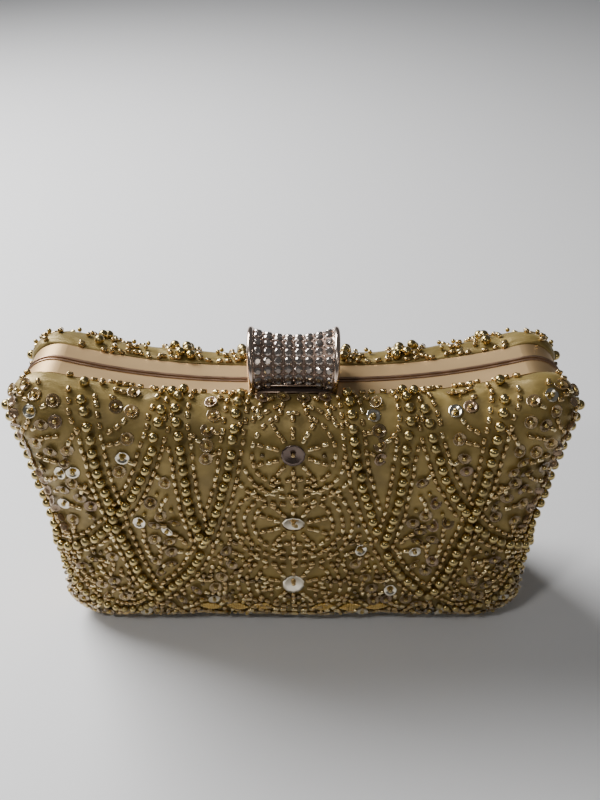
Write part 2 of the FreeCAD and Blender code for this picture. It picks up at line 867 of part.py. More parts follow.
def hook_rivet_rod(name, x, reach):
    """A rod through the hook strip and the spool's wall."""
    inward = dim("spool_waist") - "spool_wall" - "hook_wall"
    direction = spool_direction(-HOOK_RIVET_ANGLE)
    start = float(inward - reach)
    item = document.addObject("Part::Cylinder", name)
    bind(item, "Radius", "rivet_radius")
    bind(item, "Height", dim("spool_wall") + "hook_wall" + reach)
    item.Placement = Placement(Vector(x, start * direction.y,
                                      DRIVING["spool_height"] + start * direction.z),
                               Rotation(Z_AXIS, direction))
    return item


def clasp_hook(holes):
    """A curved strip riveted inside the front of the spool; its tip is the latch."""
    outer = dim("spool_waist") - "spool_wall"
    half = dim("hook_half_width")
    solid = hook_sector(outer, HOOK_FRONT, HOOK_TIP - HOOK_FRONT, half, "hook_outer")
    core = rod("hook_core", (-half - "hole_overrun", 0, "spool_height"), outer - "hook_wall",
               half * 2 + OVERRUNS, X_AXIS)
    return cut("clasp_hook", solid, [core] + holes)


def hook_rivets():
    """Two rivets whose heads lie inside the hook strip."""
    inward = dim("spool_waist") - "spool_wall" - "hook_wall"
    direction = spool_direction(-HOOK_RIVET_ANGLE)
    rivets = []
    for number, x in enumerate((-HOOK_RIVET_X, HOOK_RIVET_X)):
        shank = hook_rivet_rod(f"hook_rivet_shank_{number}", x, 0.0)
        bind(shank, "Height", dim("hook_wall") + "spool_wall" - "stone_seat" - "stone_girdle")
        head = document.addObject("Part::Cylinder", f"hook_rivet_head_{number}")
        bind(head, "Radius", "rivet_head_radius")
        bind(head, "Height", "rivet_head_height")
        start = float(inward - "rivet_head_height" - "hook_rivet_bite")
        head.Placement = Placement(
            Vector(x, start * direction.y, DRIVING["spool_height"] + start * direction.z),
            Rotation(Z_AXIS, direction))
        neck = document.addObject("Part::Cylinder", f"hook_rivet_neck_{number}")
        bind(neck, "Radius", "rivet_radius")
        bind(neck, "Height", dim("hook_rivet_bite") * 2)
        start = float(inward - "hook_rivet_bite")
        neck.Placement = Placement(
            Vector(x, start * direction.y, DRIVING["spool_height"] + start * direction.z),
            Rotation(Z_AXIS, direction))
        rivets.append(fuse(f"hook_rivet_{number}", [shank, neck, head]))
    return group("clasp_hook_rivets", rivets)


def build_bracket():
    """The bracket on the back strip: a base, two ears, and its rivets."""
    nodes = {}
    half = dim("bracket_half_width")
    base = box("bracket_base", (-half, dim("pivot_depth") - "bracket_front", SEAT),
               (half, dim("pivot_depth") + "bracket_back", BRACKET_TOP))
    ears = []
    for number, side in enumerate((-1, 1)):
        start = dim("bracket_place") * side - dim("bracket_thickness") / 2
        end = start + "bracket_thickness"
        ears.append(box(f"bracket_ear_{number}",
                        (start, dim("pivot_depth") - "ear_radius", SEAT),
                        (end, dim("pivot_depth") + "ear_radius", "pivot_height")))
        ears.append(rod(f"bracket_eye_{number}", (start, "pivot_depth", "pivot_height"),
                        "ear_radius", "bracket_thickness", X_AXIS))
    bore = rod("bracket_bore", (-FAR, "pivot_depth", "pivot_height"), "clasp_pin_radius",
               2 * FAR, X_AXIS)
    holes, rivets = [], []
    for number, side in enumerate((-1, 1)):
        x = BRACKET_RIVET_X * side
        holes.append(rivet_hole(f"bracket_hole_{number}", x, BRACKET_RIVET_DEPTH,
                                SEAT_UNDERSIDE, BRACKET_TOP))
        rivets.append(rivet(f"bracket_rivet_{number}", x, BRACKET_RIVET_DEPTH,
                            SEAT_UNDERSIDE, BRACKET_TOP))
    nodes["clasp_bracket"] = cut("clasp_bracket", fuse("bracket_stock", [base] + ears),
                                 [bore] + holes)
    nodes["clasp_bracket_rivets"] = group("clasp_bracket_rivets", rivets)
    return nodes


SPRING_WIRE = 0.25
SPRING_TURNS = 7
SPRING_PITCH = 0.62
SPRING_GAP = 0.2        # between the pin and the wire


def clasp_spring():
    """A torsion spring wound round the pin, between the bracket's ears."""
    coil_radius = DRIVING["clasp_pin_radius"] + SPRING_WIRE + SPRING_GAP
    height = SPRING_PITCH * SPRING_TURNS
    helix = Part.makeHelix(SPRING_PITCH, height, coil_radius)
    circle = Part.Wire(Part.makeCircle(SPRING_WIRE, Vector(coil_radius, 0, 0), Y_AXIS))
    coil = Part.Wire(helix).makePipeShell([circle], True, True)
    item = shape_feature("clasp_spring", coil)
    centre = Vector(-height / 2, DRIVING["pivot_depth"], DRIVING["pivot_height"])
    item.Placement = Placement(centre, Rotation(Z_AXIS, X_AXIS))
    return item


# ---------------------------------------------------------------- catch on the front strip

def build_catch():
    """A plate with a raised ridge that the hook's tip passes over."""
    nodes = {}
    half = dim("catch_half_width")
    plate = box("catch_base", (-half, -dim("front_edge") + "catch_front_gap", SEAT),
                (half, -dim("parting_gap") / 2 - "catch_back_gap", CATCH_TOP))
    ridge_half = dim("hook_half_width") + "ridge_side"
    ridge = box("catch_ridge", (-ridge_half, -dim("ridge_front"), SEAT),
                (ridge_half, -dim("ridge_back"), CATCH_TOP + "ridge_rise"))
    holes, rivets = [], []
    for number, side in enumerate((-1, 1)):
        x = CATCH_RIVET_X * side
        holes.append(rivet_hole(f"catch_hole_{number}", x, -CATCH_RIVET_DEPTH,
                                SEAT_UNDERSIDE, CATCH_TOP))
        rivets.append(rivet(f"catch_rivet_{number}", x, -CATCH_RIVET_DEPTH,
                            SEAT_UNDERSIDE, CATCH_TOP, tail_only=True))
    nodes["catch_plate"] = cut("catch_plate", fuse("catch_stock", [plate, ridge]), holes)
    nodes["catch_rivets"] = group("catch_rivets", rivets)
    return nodes


# ---------------------------------------------------------------- chain lugs

LUG_FOOT_Z = dim("lug_height") + "lug_tab_rise"


def build_lugs():
    """Two eyes on the back flange for a drop-in shoulder chain."""
    nodes, rivets = {}, []
    face = dim("back_edge") - "flange_thickness"
    start = face - "lug_thickness"
    for number, (side, word) in enumerate(((-1, "left"), (1, "right"))):
        x = LUG_X * side
        name = f"chain_lug_{word}"
        eye = rod(f"{name}_eye", (x, start, "lug_height"), "lug_radius", "lug_thickness",
                  Y_AXIS)
        tab = box(f"{name}_tab", (x - "lug_tab_half_width", start, "lug_height"),
                  (x + "lug_tab_half_width", face, LUG_FOOT_Z + "lug_tab_top"))
        drill_start = start - "hole_overrun"
        drill_length = dim("lug_thickness") + OVERRUNS
        bore = rod(f"{name}_bore", (x, drill_start, "lug_height"), "lug_eye_radius",
                   drill_length, Y_AXIS)
        hole = rod(f"{name}_hole", (x, drill_start, LUG_FOOT_Z), "rivet_radius",
                   drill_length, Y_AXIS)
        nodes[name] = cut(name, fuse(f"{name}_stock", [eye, tab]), [bore, hole])
        shank = rod(f"{name}_rivet_shank", (x, start, LUG_FOOT_Z), "rivet_radius",
                    dim("lug_thickness") + "flange_thickness", Y_AXIS)
        head = rod(f"{name}_rivet_head", (x, start - "rivet_head_height", LUG_FOOT_Z),
                   "rivet_head_radius", "rivet_head_height", Y_AXIS)
        rivets.append(fuse(f"{name}_rivet", [shank, head]))
    nodes["chain_lug_rivets"] = group("chain_lug_rivets", rivets)
    return nodes


# ---------------------------------------------------------------- frames with their holes

def build_frames():
    nodes = {}
    gap = dim("parting_gap") / 2
    front = strip_body("front_strip", gap, dim("front_edge"))
    back = strip_body("back_strip", -gap, -dim("back_edge"))
    notches = hinge_notches("hinge_notch")
    catch_holes = [
        rivet_hole(f"front_seat_hole_{number}", CATCH_RIVET_X * side, -CATCH_RIVET_DEPTH,
                   SEAT_UNDERSIDE, CATCH_TOP)
        for number, side in enumerate((-1, 1))]
    bracket_holes = [
        rivet_hole(f"back_seat_hole_{number}", BRACKET_RIVET_X * side, BRACKET_RIVET_DEPTH,
                   SEAT_UNDERSIDE, BRACKET_TOP)
        for number, side in enumerate((-1, 1))]
    front_holes = notches + catch_holes + hinge_rivet_holes("front_hinge_hole", True)
    back_holes = (notches + bracket_holes + hinge_rivet_holes("back_hinge_hole", False)
                  + lug_rivet_holes("rivet_radius"))
    nodes["front_frame"] = cut("front_frame", front, front_holes)
    nodes["back_frame"] = cut("back_frame", back, back_holes)
    nodes["back_guide_band"] = guide_band()
    return nodes


def guide_band():
    """A thin band welded inside the back strip that closes the parting gap."""
    body = new_body("guide_band_stock")
    root = outline_sketch(body, "band_root", -dim("parting_gap") / 2,
                          ["strip_wall", dim("strip_wall") + "band_clearance" + "band_wall"])
    extrude(body, "Pad", root, "band_seat", toward_back=True)
    tongue = outline_sketch(
        body, "band_tongue", "band_reach",
        [dim("strip_wall") + "band_clearance",
         dim("strip_wall") + "band_clearance" + "band_wall"])
    extrude(body, "Pad", tongue,
            dim("band_reach") + dim("parting_gap") / 2 + "band_overlap", toward_back=True)
    low = box("band_below", (-FAR, -FAR, -FAR), (FAR, FAR, "band_foot_height"))
    return cut("back_guide_band", body, [low])


# ---------------------------------------------------------------- check and write

def check(item):
    """Stops on a failed object or a shape that isn't sound."""
    bad_states = {"Invalid", "Error"} & set(item.State)
    if bad_states:
        raise RuntimeError(f"{item.Name}: {sorted(bad_states)}")


def write_parts(nodes):
    document.recompute()
    for item in document.Objects:
        check(item)
    os.makedirs("parts", exist_ok=True)
    for name, item in nodes.items():
        item.Label = name
        shape = item.Shape
        if shape.isNull() or not shape.isValid() or not shape.Solids:
            raise RuntimeError(f"{name}: its shape isn't a valid solid")
        shape.exportStep(f"parts/{name}.step")
        box_of = shape.BoundBox
        print(f"{name:24s} solids {len(shape.Solids):3d} volume {shape.Volume:10.1f}  "
              f"x {box_of.XMin:7.1f} {box_of.XMax:7.1f}  y {box_of.YMin:6.1f} "
              f"{box_of.YMax:6.1f}  z {box_of.ZMin:6.1f} {box_of.ZMax:6.1f}")


def main():
    nodes = {}
    nodes.update(build_frames())
    nodes.update(build_layers())
    nodes.update(build_hinges())
    nodes.update(build_clasp())
    nodes.update(build_catch())
    nodes.update(build_lugs())
    write_parts(nodes)


main()
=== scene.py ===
"""Looks of the beaded evening bag: satin covers with their embroidery, metal, stones and lining.

Lengths are in millimetres, but in metres in materials, lights and the camera. Flat points (x, z)
unroll a cover from the middle of its face: x is to the right, and z is the height that the point
would have on a flat face. A share of a cover is 0 at the middle of its face and 1 at its edge.
"""

import math
import random

import bpy
import numpy as np
from mathutils import Matrix, Vector, noise
from mathutils.bvhtree import BVHTree
from mathutils.kdtree import KDTree


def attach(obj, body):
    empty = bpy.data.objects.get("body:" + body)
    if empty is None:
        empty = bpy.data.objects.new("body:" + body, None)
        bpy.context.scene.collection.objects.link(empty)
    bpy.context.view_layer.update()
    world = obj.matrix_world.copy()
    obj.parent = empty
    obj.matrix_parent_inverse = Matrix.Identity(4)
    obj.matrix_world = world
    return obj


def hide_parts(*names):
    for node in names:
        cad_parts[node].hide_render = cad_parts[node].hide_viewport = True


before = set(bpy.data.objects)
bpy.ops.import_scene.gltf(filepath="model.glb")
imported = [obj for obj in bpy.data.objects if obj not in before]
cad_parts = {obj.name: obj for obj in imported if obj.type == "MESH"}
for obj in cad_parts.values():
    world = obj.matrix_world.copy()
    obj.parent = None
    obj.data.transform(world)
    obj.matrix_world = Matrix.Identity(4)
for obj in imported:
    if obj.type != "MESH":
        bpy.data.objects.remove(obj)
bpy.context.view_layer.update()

MM = 0.001
PARTING = 0.3  # the two covers mirror each other about this depth
MIDDLE = Vector((0, -9.3, 58))
FACE_DEPTH = 20.3  # from the middle point to the front of the dome
OUTSIDE = 200  # rays towards the bag start this far out
STITCH_STEP = 0.5  # spacing of the points of a line
LOWEST = 0.05  # the satin is flattened where the bag stands
GROWS = {"front": -1, "back": 1}  # the solidify offset that thickens a half's sheets inwards
TINY = 1e-9
NOISE_LOW, NOISE_HIGH = 0.3, 0.7  # a noise texture seldom leaves this range
THREAD_WANDER = 0.6
THREAD_DEPTH = 0.0002
chance = random.Random(11)


# ---- materials

def connect(material, node, **inputs):
    """Sets a node's inputs, named with _ for a space: values, or outputs to link there."""
    for name, value in inputs.items():
        socket = node.inputs[name.replace("_", " ")]
        if isinstance(value, bpy.types.NodeSocket):
            material.node_tree.links.new(value, socket)
        else:
            socket.default_value = value


def add_node(material, kind, **inputs):
    node = material.node_tree.nodes.new(f"ShaderNode{kind}")
    connect(material, node, **inputs)
    return node


def shader_of(material):
    return material.node_tree.nodes["Principled BSDF"]


def place_of(material):
    """The object coordinates of a material."""
    return add_node(material, "TexCoord").outputs["Object"]


def noise_node(material, scale, detail=2.0, stretch=(1, 1, 1)):
    """Noise in the object's own space; scale is in waves per metre."""
    mapping = add_node(material, "Mapping", Scale=stretch, Vector=place_of(material))
    return add_node(material, "TexNoise", Scale=scale, Detail=detail,
                    Vector=mapping.outputs["Vector"]).outputs["Fac"]


def spread(material, value, low, high):
    """A noise value mapped to low...high."""
    return add_node(material, "MapRange", From_Min=NOISE_LOW, From_Max=NOISE_HIGH,
                    To_Min=low, To_Max=high, Value=value).outputs["Result"]


def vary_roughness(material, scale, low, high, stretch=(1, 1, 1)):
    """Worn and cleaner patches."""
    value = spread(material, noise_node(material, scale, 4.0, stretch), low, high)
    connect(material, shader_of(material), Roughness=value)


def vary_colour(material, scale, first, second):
    """Two shades of one colour in soft patches."""
    mix = material.node_tree.nodes.new("ShaderNodeMix")
    mix.data_type = "RGBA"
    share = spread(material, noise_node(material, scale, 3.0), 0.0, 1.0)
    connect(material, mix, A=(*first, 1), B=(*second, 1), Factor=share)
    connect(material, shader_of(material), Base_Color=mix.outputs["Result"])


def bump(material, height, strength, distance):
    """A bump from a height output, on top of any bump that is there."""
    node = add_node(material, "Bump", Strength=strength, Distance=distance, Height=height)
    shader = shader_of(material)
    if shader.inputs["Normal"].is_linked:
        connect(material, node, Normal=shader.inputs["Normal"].links[0].from_socket)
    connect(material, shader, Normal=node.outputs["Normal"])


def weave(material, threads, strength):
    """Fine threads both ways, as waves per metre."""
    for direction in ("X", "Z"):
        wave = add_node(material, "TexWave", Scale=threads / 2, Distortion=THREAD_WANDER,
                        Detail=1.0, Vector=place_of(material))
        wave.bands_direction = direction
        bump(material, wave.outputs["Fac"], strength, THREAD_DEPTH)


def surface(name, colour, metallic, roughness, worn=None, dents=None, **sockets):
    """A material; worn is vary_roughness's values, dents (scale, detail, strength, depth)."""
    made = bpy.data.materials.new(name)
    made.use_nodes = True
    connect(made, shader_of(made), Base_Color=(*colour, 1), Metallic=metallic,
            Roughness=roughness, **sockets)
    if worn:
        vary_roughness(made, *worn)
    if dents:
        scale, detail, strength, depth, *stretch = dents
        bump(made, noise_node(made, scale, detail, *stretch), strength, depth)
    return made


def satin(name, light, deep):
    """Closely woven satin with a soft shine."""
    made = surface(name, light, metallic=0.4, roughness=0.42, Specular_IOR_Level=0.6,
                   Sheen_Weight=0.4, Sheen_Roughness=0.35, Sheen_Tint=(0.95, 0.85, 0.5, 1.0))
    vary_colour(made, 90, light, deep)
    vary_roughness(made, scale=160, low=0.34, high=0.5)
    weave(made, threads=3200, strength=0.12)
    bump(made, noise_node(made, scale=240, detail=3.0), strength=0.25, distance=0.0006)
    return made


SATIN = satin("gold_satin", (0.335, 0.235, 0.068), (0.20, 0.135, 0.034))
LINING = satin("lining_satin", (0.50, 0.40, 0.22), (0.42, 0.33, 0.17))
FRAME_METAL = surface("rose_gold_satin", (0.57, 0.385, 0.195), 1.0, 0.5,
                      worn=(60, 0.45, 0.55, (0.4, 1, 1)),
                      dents=(900, 2.0, 0.06, 0.0002, (0.15, 1, 1)))
CLASP_METAL = surface("rose_gold_polished", (0.72, 0.565, 0.46), 1.0, 0.16,
                      worn=(220, 0.1, 0.24), dents=(1500, 2.0, 0.04, 0.0001))
# the frame's rose gold darkened: painted shade of the rolled edges and the gap at the parting
PARTING_SHADE_METAL = surface("rose_gold_painted_shade_edge", (0.36, 0.23, 0.15), 1.0, 0.4, worn=(200, 0.3, 0.5))
STEEL = surface("steel", (0.62, 0.60, 0.58), 1.0, 0.3, worn=(400, 0.22, 0.4))
SHELL = surface("moulded_shell", (0.30, 0.26, 0.19), 0.0, 0.55,
                worn=(300, 0.45, 0.65), dents=(1200, 2.0, 0.1, 0.0002))
STONE = surface("clear_stone", (0.46, 0.39, 0.34), 0.9, 0.14,
                dents=(700, 1.0, 0.05, 0.0002), Coat_Weight=0.8, Coat_Roughness=0.02)
TRIM_METAL = surface("clasp_trim", (0.42, 0.30, 0.225), 1.0, 0.3, worn=(220, 0.24, 0.38))
# near-black: painted shade of the strip's metal under the clasp's lower edge
PAINTED_SHADE_GROOVE = surface("clasp_shadow_groove", (0.075, 0.05, 0.04), 0.6, 0.45,
                 worn=(400, 0.38, 0.55))
BED = surface("stone_bed", (0.24, 0.165, 0.125), 0.8, 0.45,
              worn=(900, 0.35, 0.6), dents=(2500, 2.0, 0.3, 0.0002))

# bead finishes keep one plain colour each, with tiny dents: (colour, metallic, roughness, coat)
BEAD_METALS = {
    "antique_gold": ((0.52, 0.39, 0.15), 1.0, 0.2, 0.4),
    "antique_gold_worn": ((0.40, 0.30, 0.12), 1.0, 0.28, 0.3),
    "lined_glass": ((0.50, 0.335, 0.125), 0.85, 0.15, 1.0),
    "lined_glass_pale": ((0.80, 0.62, 0.30), 0.9, 0.1, 1.0),
    "lined_glass_dark": ((0.25, 0.16, 0.055), 0.85, 0.18, 1.0),
    "peach_seed": ((0.52, 0.35, 0.145), 0.8, 0.18, 1.0),
    "yellow_seed": ((0.46, 0.32, 0.09), 0.8, 0.18, 1.0),
    "bronze_seed": ((0.20, 0.135, 0.05), 0.85, 0.2, 1.0),
    "silver_cup": ((0.84, 0.76, 0.60), 1.0, 0.16, 0.5),
    "plum_cup": ((0.13, 0.09, 0.07), 0.85, 0.25, 0.4),
    "leaf_gold": ((0.74, 0.50, 0.14), 1.0, 0.22, 0.6),
}
# the thin plastic of see-through sequins: (colour, metallic, share of light let through)
CUP_PLASTICS = {
    "gold_cup": ((0.72, 0.53, 0.26), 0.15, 0.75),
    "bronze_cup": ((0.38, 0.26, 0.12), 0.3, 0.6),
    "rosy_cup": ((0.44, 0.30, 0.18), 0.3, 0.55),
}
FINISHES = {"clear_stone": STONE, "clasp_metal": CLASP_METAL}
for name, (colour, metallic, roughness, coat) in BEAD_METALS.items():
    FINISHES[name] = surface(name, colour, metallic, roughness,
                             dents=(1100, 1.0, 0.12, 0.0003), Coat_Weight=coat,
                             Coat_Roughness=0.05)
for name, (colour, metallic, clear) in CUP_PLASTICS.items():
    FINISHES[name] = surface(name, colour, metallic, roughness=0.12,
                             dents=(900, 1.0, 0.15, 0.0003), Coat_Weight=0.2,
                             Coat_Roughness=0.04, Transmission_Weight=clear, IOR=1.5)

NODE_FINISHES = {
    # the guide band gets the darkened rose gold too: painted shade along the parting
    PARTING_SHADE_METAL: ("back_guide_band",),
    FRAME_METAL: ("front_frame", "back_frame", "chain_lug_left", "chain_lug_right",
                  "chain_lug_rivets", "catch_rivets", "clasp_bracket_rivets",
                  "hinge_front_rivets", "hinge_back_rivets"),
    CLASP_METAL: ("clasp_plate", "clasp_hook", "clasp_hook_rivets", "catch_plate",
                  "clasp_bracket"),
    STEEL: ("clasp_pin", "clasp_spring", *(f"{side}_hinge_{part}" for side in ("left", "right")
                                           for part in ("back_leaf", "front_leaf", "pin"))),
    SHELL: ("front_shell", "back_shell"),
}
for material, names in NODE_FINISHES.items():
    for name in names:
        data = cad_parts[name].data
        data.materials.clear()
        data.materials.append(material)

EDGE_SOFTNESS = 0.25
SHARP_EDGE = 50  # degrees; edges sharper than this are softened

for name in ("front_frame", "back_frame"):
    soft_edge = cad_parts[name].modifiers.new("soft_edge", "BEVEL")
    soft_edge.width = EDGE_SOFTNESS * MM
    soft_edge.segments = 2
    soft_edge.limit_method = "ANGLE"
    soft_edge.angle_limit = math.radians(SHARP_EDGE)


# ---- the unrolled cover

def node_tree_mm(name, mirrored=False):
    """A CAD node as a BVH tree in millimetres, mirrored about the parting if asked."""
    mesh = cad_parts[name].data
    points = np.empty(len(mesh.vertices) * 3)
    mesh.vertices.foreach_get("co", points)
    points = points.reshape(-1, 3) / MM
    if mirrored:
        points[:, 1] = 2 * PARTING - points[:, 1]
    mesh.calc_loop_triangles()
    triangles = [tuple(t.vertices) for t in mesh.loop_triangles]
    return BVHTree.FromPolygons([Vector(p) for p in points], triangles)


class Unrolled:
    """A cover's surface against flat coordinates: rays from outside towards its middle point."""

    ANGLES = 360
    STEPS = 90

    def __init__(self, tree, from_inside=False):
        self.points = np.zeros((self.ANGLES, self.STEPS, 3))
        for i in range(self.ANGLES):
            angle = 2 * math.pi * i / self.ANGLES
            level = Vector((math.cos(angle), 0, math.sin(angle)))
            edge = self.hit(tree, level, from_inside) - MIDDLE
            for j in range(self.STEPS):
                turn = math.pi / 2 * j / (self.STEPS - 1)
                ray = Vector((edge.x * math.sin(turn), -FACE_DEPTH * math.cos(turn),
                              edge.z * math.sin(turn))).normalized()
                self.points[i, j] = self.hit(tree, ray, from_inside)
        steps = np.linalg.norm(np.diff(self.points, axis=1), axis=2)
        self.reach = np.zeros((self.ANGLES, self.STEPS))
        self.reach[:, 1:] = np.cumsum(steps, axis=1)

    @staticmethod
    def hit(tree, ray, from_inside):
        if from_inside:
            return tree.ray_cast(MIDDLE, ray)[0]
        return tree.ray_cast(MIDDLE + ray * OUTSIDE, -ray)[0]

    def rays_at(self, angle):
        """The numbers of the rays beside an angle, and how far it is past the first one."""
        a = angle / (2 * math.pi) * self.ANGLES
        i = int(math.floor(a))
        return i % self.ANGLES, (i + 1) % self.ANGLES, a - i

    def at(self, angle, share):
        """Surface point at an angle and a share of the cover."""
        i, k, u = self.rays_at(angle)
        s = min(max(share, 0.0), 1.0) * (self.STEPS - 1)
        j = min(int(s), self.STEPS - 2)
        v = s - j
        near = self.points[i, j] * (1 - u) + self.points[k, j] * u
        far = self.points[i, j + 1] * (1 - u) + self.points[k, j + 1] * u
        return near * (1 - v) + far * v

    def reaches(self, angle):
        """Distances over the surface from the middle, step by step to the edge."""
        return self.reach[int(round(angle / (2 * math.pi) * self.ANGLES)) % self.ANGLES]

    def share_of(self, angle, reach):
        """The share at a distance over the surface from the middle."""
        i, k, u = self.rays_at(angle)
        row = self.reach[i] * (1 - u) + self.reach[k] * u
        return float(np.interp(reach, row, np.linspace(0, 1, self.STEPS)))

    def flat(self, x, z):
        """The surface point of a flat point."""
        angle = math.atan2(z - MIDDLE.z, x) % (2 * math.pi)
        return self.at(angle, self.share_of(angle, math.hypot(x, z - MIDDLE.z)))


COLUMNS, ROWS = 180, 116
GRID_TALLNESS = 0.62  # a cover's height against its width


def grid_quads(rows, columns):
    """The faces of a grid that has rows x columns of them."""
    wide = columns + 1
    return [(k, k + 1, k + 1 + wide, k + wide)
            for k in (r * wide + c for r in range(rows) for c in range(columns))]


def grid_sheet(surface):
    """An unrolled surface as a grid: (points, flat points, shares, faces)."""
    points, flats, shares = [], [], []
    for row in range(ROWS + 1):
        v = 2 * row / ROWS - 1
        for column in range(COLUMNS + 1):
            u = 2 * column / COLUMNS - 1
            share = max(abs(u), abs(v))
            angle = math.atan2(v * GRID_TALLNESS, u) % (2 * math.pi)
            reach = float(np.interp(share, np.linspace(0, 1, surface.STEPS),
                                    surface.reaches(angle)))
            points.append(surface.at(angle, share))
            flats.append((reach * math.cos(angle), MIDDLE.z + reach * math.sin(angle)))
            shares.append(share)
    return np.array(points), np.array(flats), np.array(shares), grid_quads(ROWS, COLUMNS)


def add_object(name, data):
    made = bpy.data.objects.new(name, data)
    bpy.context.scene.collection.objects.link(made)
    return made


def mesh_object(name, points, faces, material, body):
    """A smooth mesh from points in millimetres, riding on a body."""
    mesh = bpy.data.meshes.new(name)
    mesh.from_pydata([tuple(p) for p in np.asarray(points) * MM], [], faces)
    mesh.materials.append(material)
    mesh.shade_smooth()
    made = add_object(name, mesh)
    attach(made, body)
    return made


def to_back(points):
    """The same points on the back half."""
    turned = np.array(points, dtype=float)
    turned[:, 1] = 2 * PARTING - turned[:, 1]
    return turned


# ---- strings of the embroidery

def smooth_line(points):
    """Flat points every STITCH_STEP along a smooth curve through the given ones."""
    ends = [np.array(p, dtype=float) for p in points]
    ends = [2 * ends[0] - ends[1]] + ends + [2 * ends[-1] - ends[-2]]
    line = []
    for a, b, c, d in zip(ends, ends[1:], ends[2:], ends[3:]):
        count = max(2, int(np.linalg.norm(c - b) / STITCH_STEP))
        for k in range(count):
            t = k / count
            line.append(0.5 * (2 * b + (c - a) * t + (2 * a - 5 * b + 4 * c - d) * t * t
                               + (3 * b - a - 3 * c + d) * t ** 3))
    line.append(ends[-2])
    return np.array(line)


def beside(line, distance):
    """The line moved sideways; positive is to the left of its direction."""
    along = np.gradient(line, axis=0)
    along /= np.linalg.norm(along, axis=1)[:, None]
    return line + np.stack([-along[:, 1], along[:, 0]], axis=1) * distance


def mirrored(line):
    """The same line on the left half."""
    return np.array(line) * (-1, 1)


# the right half; the left half mirrors it
STRINGS = {
    "outer_v": [(79, 121), (73, 106), (70, 80), (66, 57), (60, 33), (55, 22)],
    "inner_v": [(48, 118), (50, 103), (58, 82), (67, 67), (79, 54), (98, 43)],
    "outer_leaf": [(45, 119), (41, 98), (39, 72), (35, 51)],
    "inner_leaf": [(22, 119), (22, 103), (26, 80), (35, 51)],
    "stem": [(35, 51), (42, 37), (55, 22)],
    "corner": [(98, 43), (90, 29), (80, 17), (66, 13), (55, 22)],
    "edge": [(98, 43), (95, 54), (99, 72), (105, 95), (108, 114)],
}
LINES = {name: smooth_line(points) for name, points in STRINGS.items()}
FLOWERS = [(0, 96), (0, 63), (0, 30)]
ALL_LINES = np.concatenate(list(LINES.values()) + [mirrored(a) for a in LINES.values()])

COVER = Unrolled(node_tree_mm("back_cover", mirrored=True))


def distance_to_lines(x, z):
    """Flat distance to the nearest string of large beads."""
    return float(np.sqrt(((ALL_LINES - (x, z)) ** 2).sum(axis=1).min()))


def outward(points, faces):
    """Outward unit normals of a grid."""
    normals = np.zeros_like(points)
    quads = np.array(faces)
    a, b, c, d = (points[quads[:, k]] for k in range(4))
    face = np.cross(c - a, d - b)
    for k in range(4):
        np.add.at(normals, quads[:, k], face)
    normals /= np.maximum(np.linalg.norm(normals, axis=1), TINY)[:, None]
    away = points - np.array((0, PARTING, MIDDLE.z))
    return -normals if (normals * away).sum() < 0 else normals


def ripple(x, z, wide, tall, layer):
    """Noise of about -1 to 1 at a flat point; each layer has a pattern of its own."""
    return noise.noise(Vector((x / wide, z / tall, layer)))


SINK = -0.3  # height of the satin under a string
FULLNESS, FULL_REACH = 0.75, 6.0  # height gained away from a string, and over what distance
PUCKER_SIZE, PUCKER_HEIGHT = 5.0, 0.34
CREASE_SIZE, CREASE_HEIGHT = 2.6, 0.12
DRAWN_HEIGHT, DRAWN_REACH = 0.25, 5.0  # what creases gain close to a string
PUCKER_LAYER, CREASE_LAYER = 0, 4
RIM_TUCK = 0.9  # the satin's edge is tucked this far under the strip
TUCK_RATE = 22  # the tuck takes the last 1/22 of the way to the edge


def puff(flats, shares, blown):
    """How far the satin stands out; the fullness is left to the simulation if it was blown."""
    heights = []
    for (x, z), share in zip(flats, shares):
        near = distance_to_lines(x, z)
        full = 0.0 if blown else 1 - math.exp(-(near / FULL_REACH) ** 2)
        pucker = ripple(x, z, PUCKER_SIZE, PUCKER_SIZE, PUCKER_LAYER)
        crease = ripple(x, z, CREASE_SIZE, CREASE_SIZE, CREASE_LAYER)
        drawn = math.exp(-(near / DRAWN_REACH) ** 2)
        height = (SINK + FULLNESS * full + PUCKER_HEIGHT * pucker
                  + (CREASE_HEIGHT + DRAWN_HEIGHT * drawn) * crease)
        tuck = min(1.0, (1 - share) * TUCK_RATE)
        heights.append(height * tuck - RIM_TUCK * (1 - tuck))
    return np.array(heights)


SIM_SCALE = 0.01  # the simulated cloth is ten times the size of the bag
SIM_FRAMES = 16
SIM_CAP = 1.3  # the most that the simulation may move a point
SIM_FADE = 9  # its movement fades over the last 1/9 of the way to the edge
SIM_SMOOTHINGS = 2
HELD_SHARE = 0.96  # the cloth is held outside this share of the cover,
HELD_NEAR = 1.6  # nearer than this to a string,
HELD_CHANCE = 0.07  # and at this share of its other points
CLOTH_SETTINGS = {
    "quality": 6, "mass": 0.3, "tension_stiffness": 12, "compression_stiffness": 12,
    "shear_stiffness": 4, "bending_stiffness": 0.05, "vertex_group_mass": "stitched",
    "pin_stiffness": 1.0, "shrink_min": -0.02, "use_pressure": True,
    "uniform_pressure_force": 4.0,
}


